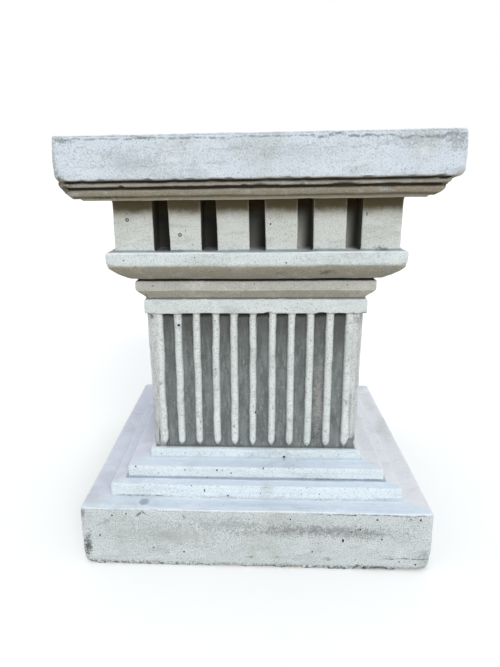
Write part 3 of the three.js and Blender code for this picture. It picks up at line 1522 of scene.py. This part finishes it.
@dataclass(frozen=True)
class ConcreteFinish:
    """Pale cast concrete with a dark wash worked into its hollows, and painted light and shade: sky
    light on the upward faces, shade under the overhangs, in the creases, slots and holes, and
    highlights on the arrises.
    """

    # The cove and crown moulding zones are darker and browner than the faces: painted shade and warm bounce
    # under the overhangs, partly grime.
    zones: tuple[Zone, ...] = (
        Zone(0, (203, 212, 216)),
        Zone(75, (216, 226, 232)),
        Zone(89, (212, 222, 228)),
        Zone(103.4, (208, 219, 224)),
        Zone(114.6, (216, 223, 223)),
        Zone(285, (213, 221, 222)),
        Zone(302, (184, 186, 178)),
        Zone(313.8, (186, 186, 180)),
        Zone(326, (164, 162, 149)),
        Zone(345.6, (213, 223, 225)),
        Zone(361, (208, 213, 210)),
        Zone(414.2, (196, 190, 172)),
        Zone(416.8, (170, 163, 145)),
        Zone(421.5, (156, 148, 130)),
        Zone(427.4, (162, 155, 139)),
        Zone(434, (208, 218, 229)),
    )
    sky_lit_ledge: Tone = (216, 227, 240)
    brushed: Tone = (194, 208, 226)
    # Painted tints for the side ledges: lilac where lit, blue where shaded.
    lilac: Tone = (230, 227, 231)
    blue: Tone = (214, 214, 228)
    soffit_shade_and_grime: Tone = (164, 156, 138)
    bleach_and_highlight: Tone = (236, 241, 242)
    drawn: Tone = (158, 167, 170)
    moss: Tone = (168, 176, 168)
    wash: Tone = (97, 103, 103)
    faded_wash: Tone = (121, 127, 127)
    rubbed_and_flank_shade: Tone = (168, 175, 174)
    soot_and_shade: Tone = (58, 56, 50)
    shadow_black: Tone = (14, 14, 12)
    slot_light_pool: Tone = (238, 238, 230)
    crown_shadow_grime: Tone = (122, 112, 88)
    deep_crown_shadow_grime: Tone = (88, 79, 54)
    sand: Tone = (120, 122, 118)
    core: Tone = (92, 94, 92)
    mortar: Tone = (216, 219, 220)
    grime: Tone = (70, 74, 74)
    stain_reach: float = 3.0
    pore: Tone = (50, 48, 44)
    # Light lines on the arrises are partly wear, partly painted highlight. Dark lines in the creases at the
    # steps' and shaft's feet, the neck groove, the quirks, the band's top before the tablets and under the
    # ovolo are painted shade, partly grime.
    lines: tuple[Line, ...] = (
        Line(199.6, 74.3, 1.6, 0.7, (238, 244, 247)),
        Line(170.6, 71.5, 2, 0.45, (134, 146, 162)),
        Line(153.4, 88.2, 3.4, 0.75, (126, 138, 154)),
        Line(128.6, 102.5, 3, 0.45, (150, 166, 186)),
        Line(120.5, 114, 3.2, 0.6, (84, 88, 88)),
        Line(124.6, 303, 2.2, 0.72, (50, 46, 38)),
        Line(134.8, 314.3, 1.2, 0.5, (226, 222, 208)),
        Line(132, 326.2, 4.2, 0.97, (40, 34, 26)),
        Line(160.2, 359.8, 1.8, 0.7, (242, 246, 248)),
        Line(154.5, 360, 4.2, 0.45, (104, 114, 118)),
        Line(152, 360.6, 1.8, 0.5, (84, 94, 96)),
        Line(179.8, 419.6, 3.8, 0.7, (84, 76, 54)),
        Line(173, 414.6, 1.3, 0.6, (222, 214, 192)),
        Line(188, 426.9, 4.4, 0.35, (84, 76, 58)),
        Line(190.4, 432.9, 3.4, 0.5, (84, 76, 58)),
        Line(184.5, 427.1, 3.6, 0.95, (46, 39, 29)),
        Line(187, 433.4, 3, 0.95, (46, 39, 29)),
        Line(195.8, 434.8, 1.4, 0.5, (232, 236, 238)),
        Line(195.8, 476.9, 1.1, 0.5, (238, 234, 236)),
    )
    # The streaks at 71 to 74, 89 and 417.8 mm lie in creases: painted shade, partly grime.
    streaks: tuple[Streak, ...] = (
        Streak(71.4, 1.1, 66, 194, 0.7, 2.4),
        Streak(71.8, 0.8, -190, 60, 0.3, 1.2, (120, 128, 130)),
        Streak(15.9, 1.2, 150, 200, 0.8, 3, (84, 90, 92)),
        Streak(89, 1.5, 50, 152, 0.7, 0.5, (78, 88, 98)),
        Streak(96.5, 0.7, 40, 150, 0.35, 2, (150, 164, 176)),
        Streak(80, 0.7, -150, 90, 0.35, 3, (160, 174, 190)),
        Streak(74, 1.0, -160, -108, 0.8, 0.6, (96, 108, 122)),
        Streak(475.2, 0.8, -196, 196, 0.5, 0.5, (128, 134, 138)),
        Streak(472.6, 1.4, -192, 60, 0.6, 3, (104, 110, 112)),
        Streak(417.8, 1.3, -165, -118, 0.8, 0.5, (40, 34, 24)),
        Streak(470.8, 2.0, 55, 196, 0.75, 8, (104, 112, 114)),
        Streak(462, 1.1, -120, 180, 0.35, 10, (140, 150, 154)),
        Streak(448, 0.9, -190, -20, 0.3, 8, (140, 150, 154)),
    )
    stains: tuple[Stain, ...] = (
        Stain((-131.2, -200, 67.8), (6, 6, 1.7), 0.8, (96, 102, 100), -0.76),
        Stain((-126.4, -200, 69.4), (4.6, 6, 1.3), 0.75, (100, 106, 104), 0.5),
        Stain((-128.6, -183, 73), (6.5, 9.5, 6), 0.7, (138, 152, 168), 0, 0.25),
        Stain((-194.4, -200, 24), (5.6, 9, 18), 0.9, (70, 73, 72), 0.08, 0.9),
        Stain((-197.2, -200, 67), (3, 5, 7), 0.7, (112, 120, 122), 0.2),
        Stain((-172, -200, 56), (9, 6, 4), 0.45, (138, 144, 138), -0.4, 0.9),
        Stain((96, -200, 50), (84, 8, 9), 0.6, (112, 116, 118), 0.03, 1.0),
        Stain((36, -200, 48), (60, 8, 7), 0.45, (120, 122, 124), -0.03, 1.0),
        Stain((128, -200, 47), (18, 8, 11), 0.4, (132, 142, 134), 0, 1.0),
        Stain((-30, -200, 56), (70, 8, 9), 0.4, (132, 136, 136), 0.02, 1.0),
        Stain((84, -200, 13), (7, 6, 3.6), 0.6, (112, 120, 116), 0, 0.9),
        Stain((-4, -200, 14), (6, 6, 1.6), 0.6, (112, 120, 116), 0, 0.9),
        Stain((28, -200, 14.5), (5, 6, 1.3), 0.6, (104, 112, 108), 0, 0.9),
        Stain((-100, -200, 40), (80, 8, 20), 0.4, (150, 158, 150), 0, 1.0),
        Stain((141, -200, 2.5), (26, 9, 3.8), 0.85, (80, 86, 84), 0, 0.9),
        Stain((119, -200, 5), (4, 9, 3), 0.85, (56, 58, 56), 0, 0.9),
        Stain((192, -200, 20), (8, 9, 12), 0.45, (128, 136, 138), 0, 1.0),
        Stain((-106, -196, 473), (11, 6, 1.8), 0.7, (104, 112, 114), 0.14, 0.8),
        Stain((-184, -196, 472), (12, 6, 3.4), 0.6, (112, 120, 118), 0.2, 0.9),
        Stain((-194, -196, 455), (5, 8, 24), 0.6, (126, 134, 134), 0, 0.9),
        Stain((-120, -196, 452), (50, 8, 14), 0.35, (150, 158, 162), 0.1, 1.0),
        Stain((30, -196, 458), (60, 8, 10), 0.3, (156, 164, 166), 0, 1.0),
        Stain((150, -196, 468), (50, 6, 7), 0.35, (146, 154, 152), 0, 1.0),
        Stain((186, -196, 466), (12, 8, 10), 0.5, (122, 130, 128), 0.5, 1.0),
        Stain((77.7, -152, 336.9), (9, 12, 3.6), 0.7, (88, 90, 84), 0, 0.9),
        Stain((28, -152, 336), (10, 12, 2.4), 0.35, (104, 104, 96), 0, 0.9),
        Stain((-128, -134, 306), (22, 12, 5), 0.6, (96, 96, 90), 0.1, 0.9),
        # Painted shadow under the neck at the shaft's left corner.
        Stain((-119, -119, 282), (3.4, 10, 3.6), 0.8, (72, 74, 72), 0.3, 0.9),
        Stain((-117.5, -121, 128), (1.7, 8, 13), 0.75, (84, 88, 88), 0, 0.4),
        Stain((117, -120, 277), (4, 8, 8), 0.6, (104, 108, 108), 0, 1.0),
        Stain((76.5, -121, 176), (6, 4, 48), 0.75, (158, 156, 154), 0, 1.0),
        Stain((133, -152, 361.5), (9, 6, 2.6), 0.8, (84, 94, 94), 0.2, 0.9),
        Stain((56, -152, 361), (12, 6, 2), 0.7, (90, 100, 100), 0, 0.9),
        Stain((-84, -152, 361), (14, 6, 1.6), 0.6, (96, 106, 106), 0, 0.9),
        Stain((36.3, -130, 104), (3, 6, 2.4), 0.6, (90, 98, 100), 0, 0.8),
        # Painted shade at the crown's left corner, under the mouldings, partly grime.
        Stain((-194, -190, 430), (14, 16, 12), 0.6, (62, 54, 42), 0, 0.9),
        Stain((-135.2, -152, 393.9), (1.3, 6, 1.3), 0.6, (116, 114, 106), 0, 0.2),
        Stain((-79.2, -152, 377.7), (1.3, 6, 1.3), 0.6, (116, 114, 106), 0, 0.2),
    )

    def material(self) -> bpy.types.Material:
        """Builds the shader.

        Returns:
            The material.
        """
        made = bpy.data.materials.new(SLOT)
        made.use_nodes = True
        sheet = Sheet(made.node_tree)
        at = self.spot(sheet)
        colour = self.ground(sheet, at)
        colour = self.washed(sheet, colour, at)
        colour = self.soiled(sheet, colour, at)
        colour = self.marked(sheet, colour, at)
        shader = sheet.node("BsdfPrincipled")
        sheet.feed(shader.inputs["Base Color"], colour)
        sheet.feed(shader.inputs["Roughness"], sheet.math("MULTIPLY_ADD", at.uneven, 0.12, 0.84))
        shader.inputs["Specular IOR Level"].default_value = 0.28
        shader.inputs["IOR"].default_value = 1.45
        sheet.feed(shader.inputs["Normal"], self.relief(sheet, at))
        output = sheet.node("OutputMaterial")
        sheet.feed(output.inputs["Surface"], shader.outputs["BSDF"])
        return made

    @staticmethod
    def spot(sheet: Sheet) -> Spot:
        """Finds out what the other steps need to know of a point.

        Args:
            sheet: The node sheet.

        Returns:
            The point's place, direction and noises.
        """
        place = sheet.node("TexCoord").outputs["Object"]
        x, y, height = sheet.parts(place)
        facing = sheet.parts(sheet.node("NewGeometry").outputs["Normal"])[2]
        above = sheet.step(facing, 0.55, 0.95)
        return Spot(
            place=place,
            x=x,
            y=y,
            height=height,
            half=sheet.math("MAXIMUM", sheet.math("ABSOLUTE", x), sheet.math("ABSOLUTE", y)),
            above=above,
            under=sheet.step(facing, -0.15, -0.6),
            upright=sheet.math("SUBTRACT", 1, above),
            patchy=sheet.noise(place, 17 * MM, 4, 0.65),
            uneven=sheet.noise(place, 4.5 * MM, 4, 0.7),
            grit=sheet.noise(place, 1.5 * MM, 3, 0.7),
        )

    def ground(self, sheet: Sheet, at: Spot) -> Link:
        """Colours the concrete by tier, and mottles it. It paints sky light on the upward faces, lit and
        shaded tints on the side ledges, and shade, partly grime, on the downward faces.

        Args:
            sheet: The node sheet.
            at: The point.

        Returns:
            The colour.
        """
        reach = 500 * MM
        bands = sheet.node("ValToRGB")
        bands.color_ramp.interpolation = "LINEAR"
        stops = bands.color_ramp.elements
        stops[0].color = srgb(*self.zones[0].tone)
        stops[1].position = 1.0
        stops[1].color = srgb(*self.zones[-1].tone)
        for below, zone in zip(self.zones, self.zones[1:]):
            for offset, tone in ((-0.7, below.tone), (0.7, zone.tone)):
                stops.new((zone.foot + offset) * MM / reach).color = srgb(*tone)
        sheet.feed(bands.inputs["Fac"], sheet.math("DIVIDE", at.height, reach))
        colour = bands.outputs["Color"]

        sideward = sheet.math("SUBTRACT", sheet.math("ABSOLUTE", at.x), sheet.math("ABSOLUTE", at.y))
        # Painted sky light: the upward faces paler and bluer, with brushed strokes in the same light.
        colour = sheet.over(colour, self.sky_lit_ledge, at.above, 0.85)
        strokes = sheet.noise(sheet.stretched(at.place, (0.12, 1, 1)), 7 * MM, 4, 0.6, 0.5)
        colour = sheet.over(colour, self.brushed, at.above, sheet.step(strokes, 0.46, 0.66), 0.5)
        # Painted light and shade on the side ledges: bluer on the shaded left, lilac on the lit right.
        painted_flank_shading = sheet.mixed(sheet.step(at.x, -0.1, 0.1), srgb(*self.blue), srgb(*self.lilac))
        aside = sheet.product(at.above, sheet.step(sideward, 0, 12 * MM), 0.75)
        colour = sheet.mixed(aside, colour, painted_flank_shading)
        # Painted shade on the downward faces, brown as in warm bounce light, partly grime.
        colour = sheet.over(colour, self.soffit_shade_and_grime, at.under, sheet.step(at.patchy, 0.2, 0.6), 0.7)

        drawn = sheet.noise(sheet.stretched(at.place, (0.22, 0.22, 1)), 8 * MM, 4, 0.68)
        colour = sheet.over(colour, self.drawn, at.upright, sheet.step(drawn, 0.5, 0.7), 0.42)
        clouds = sheet.noise(at.place, 55 * MM, 4, 0.62, 0.4)
        colour = sheet.over(colour, self.moss, sheet.step(clouds, 0.48, 0.72), 0.35)
        colour = sheet.over(colour, self.bleach_and_highlight, sheet.step(clouds, 0.46, 0.28), 0.3)
        colour = sheet.over(colour, self.bleach_and_highlight, sheet.step(at.patchy, 0.54, 0.72), 0.3)
        colour = sheet.over(colour, self.sand, sheet.step(at.uneven, 0.56, 0.76), 0.25)
        colour = sheet.over(colour, self.sand, at.upright, sheet.step(at.grit, 0.52, 0.7), 0.55)
        colour = sheet.over(colour, self.bleach_and_highlight, at.upright, sheet.step(at.grit, 0.46, 0.3), 0.4)
        base = sheet.step(at.height, TIERS.base_top + 1 * MM, TIERS.base_top - 0.5 * MM)
        return sheet.over(colour, self.sand, base, at.upright, sheet.step(at.grit, 0.48, 0.64), 0.3)

    def washed(self, sheet: Sheet, colour: Link, at: Spot) -> Link:
        """Rubs the dark wash into the flutes and the slots, and paints shade on the reeds' flanks,
        under the neck and in the slots, with a painted pool of light in some slots.

        Args:
            sheet: The node sheet.
            colour: The bare concrete.
            at: The point.

        Returns:
            The colour.
        """
        t = TIERS
        fine_streaks = sheet.noise(sheet.stretched(at.place, (1, 1, 0.2)), 1.9 * MM, 4, 0.75)
        broad_streaks = sheet.noise(sheet.stretched(at.place, (1, 1, 0.2), 1), 8 * MM, 3, 0.6)
        in_shaft = sheet.between(at.height, t.thin_band_top, t.shaft_top + 0.5 * MM, 0.8 * MM)
        ragged = sheet.math("MULTIPLY_ADD", sheet.math("SUBTRACT", at.uneven, 0.5), 3.4 * MM, at.half)
        flute = sheet.product(in_shaft, sheet.step(ragged, 124.3 * MM, 121.2 * MM))
        tone = sheet.mixed(sheet.step(broad_streaks, 0.4, 0.62), srgb(*self.wash), srgb(*self.faded_wash))
        tone = sheet.over(tone, self.rubbed_and_flank_shade, sheet.step(fine_streaks, 0.54, 0.72), 0.6)
        tone = sheet.over(tone, self.bleach_and_highlight, sheet.step(at.grit, 0.6, 0.72), 0.45)
        tone = sheet.over(tone, self.soot_and_shade, sheet.step(at.patchy, 0.52, 0.74), 0.4)
        # Painted shade in the flutes' hollows, partly wash.
        tone = sheet.over(tone, self.soot_and_shade, sheet.noted("hollow"), 0.5)
        # The flute ground darkens towards the top.
        tone = sheet.over(tone, self.soot_and_shade, sheet.step(at.height, t.shaft_top - 70 * MM, t.shaft_top), 0.65)
        # Painted shadow under the neck: a very dark band at the flutes' tops, partly grime.
        edge = sheet.math("MULTIPLY_ADD", sheet.math("SUBTRACT", at.patchy, 0.5), 9 * MM, at.height)
        shade = sheet.step(edge, t.shaft_top - 7 * MM, t.shaft_top - 2.5 * MM)
        tone = sheet.over(tone, self.shadow_black, shade, 0.95)
        # Painted shade: the reeds' flanks greyer than their crests.
        painted_flank_shading = sheet.product(in_shaft, sheet.step(at.half, 125.4 * MM, 122.6 * MM))
        colour = sheet.over(colour, self.rubbed_and_flank_shade, painted_flank_shading, 0.6)
        colour = sheet.over(colour, self.sand, in_shaft, sheet.step(at.grit, 0.52, 0.66), 0.28)
        colour = sheet.mixed(sheet.product(flute, 0.96), colour, tone)

        mottled = sheet.over(colour, self.mortar, 0.75)
        mottled = sheet.over(mottled, self.faded_wash, sheet.step(broad_streaks, 0.48, 0.66), 0.45)
        mottled = sheet.over(mottled, self.wash, sheet.step(fine_streaks, 0.52, 0.7), 0.5)
        mottled = sheet.over(mottled, self.sand, sheet.step(at.grit, 0.5, 0.66), 0.55)
        colour = sheet.mixed(sheet.noted("filled"), colour, mottled)

        in_course = sheet.between(at.height, t.band_top, t.tablet_top, 1 * MM)
        inside = sheet.step(at.half, t.tablet_half - 1.2 * MM, t.tablet_half - 3.5 * MM)
        slot = sheet.product(in_course, inside)
        # Painted light: a pale pool on the left of each front slot, more towards the right and fading
        # upwards; the rest of each slot is painted dark, shade partly wash.
        pitch = 51 * MM
        offset = 3.5 * pitch - 2.6 * MM
        across = sheet.math("MODULO", sheet.math("ADD", at.x, offset), pitch)
        left = sheet.step(sheet.math("SUBTRACT", across, pitch / 2), 8 * MM, -4 * MM)
        low = sheet.step(at.height, t.tablet_top - 2 * MM, t.tablet_top - 30 * MM)
        lit = sheet.product(sheet.step(at.y, 0, -0.1), sheet.step(at.x, -34 * MM, 62 * MM), left, low)
        slot_tone = sheet.mixed(lit, srgb(*self.soot_and_shade), srgb(*self.slot_light_pool))
        slot_tone = sheet.over(slot_tone, self.sand, 0.25, at.uneven)
        # Painted shade: the slots turn very dark under the crown.
        shade = sheet.step(at.height, t.tablet_top - 22 * MM, t.tablet_top)
        slot_tone = sheet.over(slot_tone, self.shadow_black, shade, 0.9)
        return sheet.mixed(sheet.product(slot, 0.97), colour, slot_tone)

    def soiled(self, sheet: Sheet, colour: Link, at: Spot) -> Link:
        """Paints the crown's shadow on the tablets and shade in the creases and hollows, partly grime,
        light arris lines, partly wear, and adds grime along the foot, streaks and stains.

        Args:
            sheet: The node sheet.
            colour: The washed concrete.
            at: The point.

        Returns:
            The colour.
        """
        top = TIERS.tablet_top
        # Painted shadow of the crown on the tablets' tops, brown and darkest near the top, partly grime.
        wavy = sheet.math("MULTIPLY_ADD", sheet.math("SUBTRACT", at.patchy, 0.5), 11 * MM, at.height)
        course = sheet.step(at.height, top + 1 * MM, top - 1 * MM)
        colour = sheet.over(colour, self.crown_shadow_grime, course, sheet.step(wavy, top - 24 * MM, top - 8 * MM), 0.6)
        darker = sheet.step(wavy, top - 17 * MM, top - 8 * MM)
        colour = sheet.over(colour, self.deep_crown_shadow_grime, course, darker, 0.9)

        section = sheet.node("CombineXYZ")
        sheet.feed(section.inputs[0], at.half)
        sheet.feed(section.inputs[1], at.height)
        wide = sheet.math("MULTIPLY_ADD", at.patchy, 0.9, 0.55)
        # Painted shade in the creases and painted highlight on the arrises, partly grime and wear.
        for line in self.lines:
            away = sheet.distance(section.outputs[0], (line.half * MM, line.height * MM, 0))
            near = sheet.step(sheet.math("DIVIDE", away, wide), line.reach * MM, 0.3 * line.reach * MM)
            colour = sheet.over(colour, line.tone, near, line.strength)
        # Painted shade in the hollows, partly grime.
        hollow_shade_and_grime = sheet.product(sheet.noted("hollow"), sheet.step(at.patchy, 0.36, 0.66), 0.3)
        colour = sheet.over(colour, self.core, hollow_shade_and_grime)
        foot = sheet.product(sheet.step(at.height, 7 * MM, 2 * MM), sheet.step(at.half, 190 * MM, 196 * MM))
        specks = sheet.step(sheet.noise(at.place, 3.6 * MM, 3, 0.75), 0.44, 0.56)
        colour = sheet.over(colour, self.grime, foot, specks, 0.85)

        outer = sheet.product(sheet.step(at.y, 0, -0.1), sheet.step(at.half, 140 * MM, 150 * MM), at.upright)
        drift = sheet.math("SUBTRACT", sheet.noise(at.place, 22 * MM, 3, 0.6), 0.5)
        gaps = sheet.product(outer, sheet.step(at.uneven, 0.38, 0.56))
        for streak in self.streaks:
            centre = sheet.math("MULTIPLY_ADD", drift, 2 * streak.wander * MM, streak.height * MM)
            off = sheet.math("ABSOLUTE", sheet.math("SUBTRACT", at.height, centre))
            line = sheet.step(off, streak.thick * MM, 0.2 * streak.thick * MM)
            reach = sheet.between(at.x, streak.start * MM, streak.end * MM, 8 * MM)
            colour = sheet.over(colour, streak.tone, line, reach, gaps, streak.strength)
        grain = sheet.step(at.grit, 0.62, 0.38)
        for stain in self.stains:
            spread = sheet.node("Mapping", vector_type="TEXTURE")
            sheet.feed(spread.inputs["Vector"], at.place)
            spread.inputs["Location"].default_value = Vector(stain.middle) * MM
            spread.inputs["Rotation"].default_value = (0, stain.turn, 0)
            spread.inputs["Scale"].default_value = Vector(stain.size) * self.stain_reach * MM
            ball = sheet.node("TexGradient", gradient_type="SPHERICAL")
            sheet.feed(ball.inputs["Vector"], spread.outputs[0])
            away = sheet.math("MULTIPLY_ADD", ball.outputs["Fac"], -self.stain_reach, self.stain_reach)
            rim = sheet.math("MULTIPLY_ADD", sheet.math("SUBTRACT", at.uneven, 0.5), 3 * stain.uneven, away)
            rim = sheet.math("MULTIPLY_ADD", grain, 0.6 * stain.uneven, rim)
            share = sheet.step(rim, 1.15 + 0.35 * stain.uneven, 0.7 - 0.3 * stain.uneven)
            colour = sheet.over(colour, stain.tone, share, stain.strength)
        return colour

    def marked(self, sheet: Sheet, colour: Link, at: Spot) -> Link:
        """Adds light arrises, worn and partly painted highlight, breaks, and air holes and pinholes
        darkened with painted shade.

        Args:
            sheet: The node sheet.
            colour: The soiled concrete.
            at: The point.

        Returns:
            The colour.
        """
        # Paler worn arrises, partly painted highlight.
        colour = sheet.over(colour, self.bleach_and_highlight, sheet.noted("worn"), sheet.step(at.uneven, 0.3, 0.55), 0.7)
        gravel = sheet.step(sheet.noise(at.place, 2.4 * MM, 3, 0.7), 0.4, 0.62)
        colour = sheet.over(colour, self.core, sheet.noted("broken"), gravel)
        # Painted shade: air-hole walls and pinhole dots darkened.
        colour = sheet.over(colour, self.pore, sheet.noted("pore"))
        for wave, share, size in ((5.2 * MM, 0.74, 0.085), (13 * MM, 0.6, 0.05)):
            dots = sheet.node("TexVoronoi", feature="F1")
            sheet.feed(dots.inputs["Vector"], at.place)
            dots.inputs["Scale"].default_value = 1 / wave
            near = sheet.step(dots.outputs["Distance"], size, 0.5 * size)
            chosen = sheet.step(sheet.parts(dots.outputs["Color"])[0], share, share + 0.03)
            colour = sheet.over(colour, self.pore, near, chosen, 0.7)
        return colour

    @staticmethod
    def relief(sheet: Sheet, at: Spot) -> Link:
        """Raises the sandy grain of the surface.

        Args:
            sheet: The node sheet.
            at: The point.

        Returns:
            The bent normal.
        """
        lumps = sheet.noise(at.place, 6 * MM, 3, 0.6)
        bump = sheet.node("Bump")
        bump.inputs["Strength"].default_value = 0.5
        bump.inputs["Distance"].default_value = 0.35 * MM
        sheet.feed(bump.inputs["Height"], sheet.math("MULTIPLY_ADD", lumps, 2.2, at.grit))
        return bump.outputs["Normal"]


@dataclass
class Studio:
    """The floor, the light and the camera."""

    eye: tuple[float, float, float] = (0.0028, -0.7541, 0.4378)
    pitch: float = math.radians(16.3)
    yaw: float = math.radians(3.48)
    roll: float = math.radians(0.87)
    focal_pixels: float = 562.2
    centre_pixel: tuple[float, float] = (224.1, 339.9)
    picture: tuple[int, int] = (500, 667)
    sensor: float = 36.0
    ground_light: tuple[float, float, float] = (0.46, 0.43, 0.37)
    zenith_light: tuple[float, float, float] = (0.93, 0.97, 1.0)
    key_power: float = 1.1
    key_width: float = math.radians(24)
    key_height: float = math.radians(30)
    key_turn: float = math.radians(20)

    def camera(self) -> bpy.types.Object:
        """Places the camera where the photograph was taken from.

        Returns:
            The camera.
        """
        data = bpy.data.cameras.new("camera")
        long_side = max(self.picture)
        data.sensor_width = self.sensor
        data.lens = self.focal_pixels * self.sensor / long_side
        data.shift_x = (self.picture[0] / 2 - self.centre_pixel[0]) / long_side
        data.shift_y = (self.centre_pixel[1] - self.picture[1] / 2) / long_side
        data.clip_start = 0.01
        camera = bpy.data.objects.new("camera", data)
        bpy.context.scene.collection.objects.link(camera)
        turn = Matrix.Rotation(self.yaw, 4, "Z") @ Matrix.Rotation(math.pi / 2 - self.pitch, 4, "X")
        camera.matrix_world = Matrix.Translation(self.eye) @ turn @ Matrix.Rotation(-self.roll, 4, "Z")
        bpy.context.scene.camera = camera
        return camera

    def floor(self) -> bpy.types.Object:
        """Lays the plain pale floor.

        Returns:
            The floor.
        """
        shape = bmesh.new()
        bmesh.ops.create_grid(shape, x_segments=1, y_segments=1, size=40)
        floor = Shapes.standing("studio_floor", shape)
        made = bpy.data.materials.new("studio_floor")
        made.use_nodes = True
        shader = made.node_tree.nodes["Principled BSDF"]
        shader.inputs["Base Color"].default_value = srgb(254, 254, 254)
        shader.inputs["Roughness"].default_value = 0.9
        shader.inputs["Specular IOR Level"].default_value = 0.1
        floor.data.materials.append(made)
        floor.visible_diffuse = False
        return floor

    def light(self) -> None:
        """Sets the soft white sky and one large far light."""
        world = bpy.data.worlds.new("sky")
        world.use_nodes = True
        sheet = Sheet(world.node_tree)
        rise = sheet.parts(sheet.node("TexCoord").outputs["Generated"])[2]
        colour = sheet.mixed(sheet.step(rise, -0.3, -0.02), (*self.ground_light, 1), (1, 1, 1, 1))
        colour = sheet.mixed(sheet.step(rise, 0.3, 0.9), colour, (*self.zenith_light, 1))
        sky = sheet.node("Background")
        sheet.feed(sky.inputs["Color"], colour)
        sky.inputs["Strength"].default_value = 1.0
        sheet.feed(sheet.node("OutputWorld").inputs["Surface"], sky.outputs[0])
        bpy.context.scene.world = world
        data = bpy.data.lights.new("key_light", "SUN")
        data.energy = self.key_power
        data.angle = self.key_width
        light = bpy.data.objects.new("key_light", data)
        bpy.context.scene.collection.objects.link(light)
        turn = Matrix.Rotation(self.key_turn, 4, "Z") @ Matrix.Rotation(math.pi / 2 - self.key_height, 4, "X")
        light.matrix_world = turn


def main() -> None:
    """Builds the pedestal, its finish and the studio."""
    logging.basicConfig(level=logging.INFO, format="%(name)s: %(message)s")
    studio = Studio()
    studio.camera()
    studio.floor()
    studio.light()
    pedestal = Casting().build()
    pedestal.data.materials.clear()
    pedestal.data.materials.append(ConcreteFinish().material())
    LOG.info("%s: %d triangles", pedestal.name, len(pedestal.data.polygons))
    bpy.context.scene.view_settings.view_transform = "Standard"


if __name__ == "__main__":
    main()
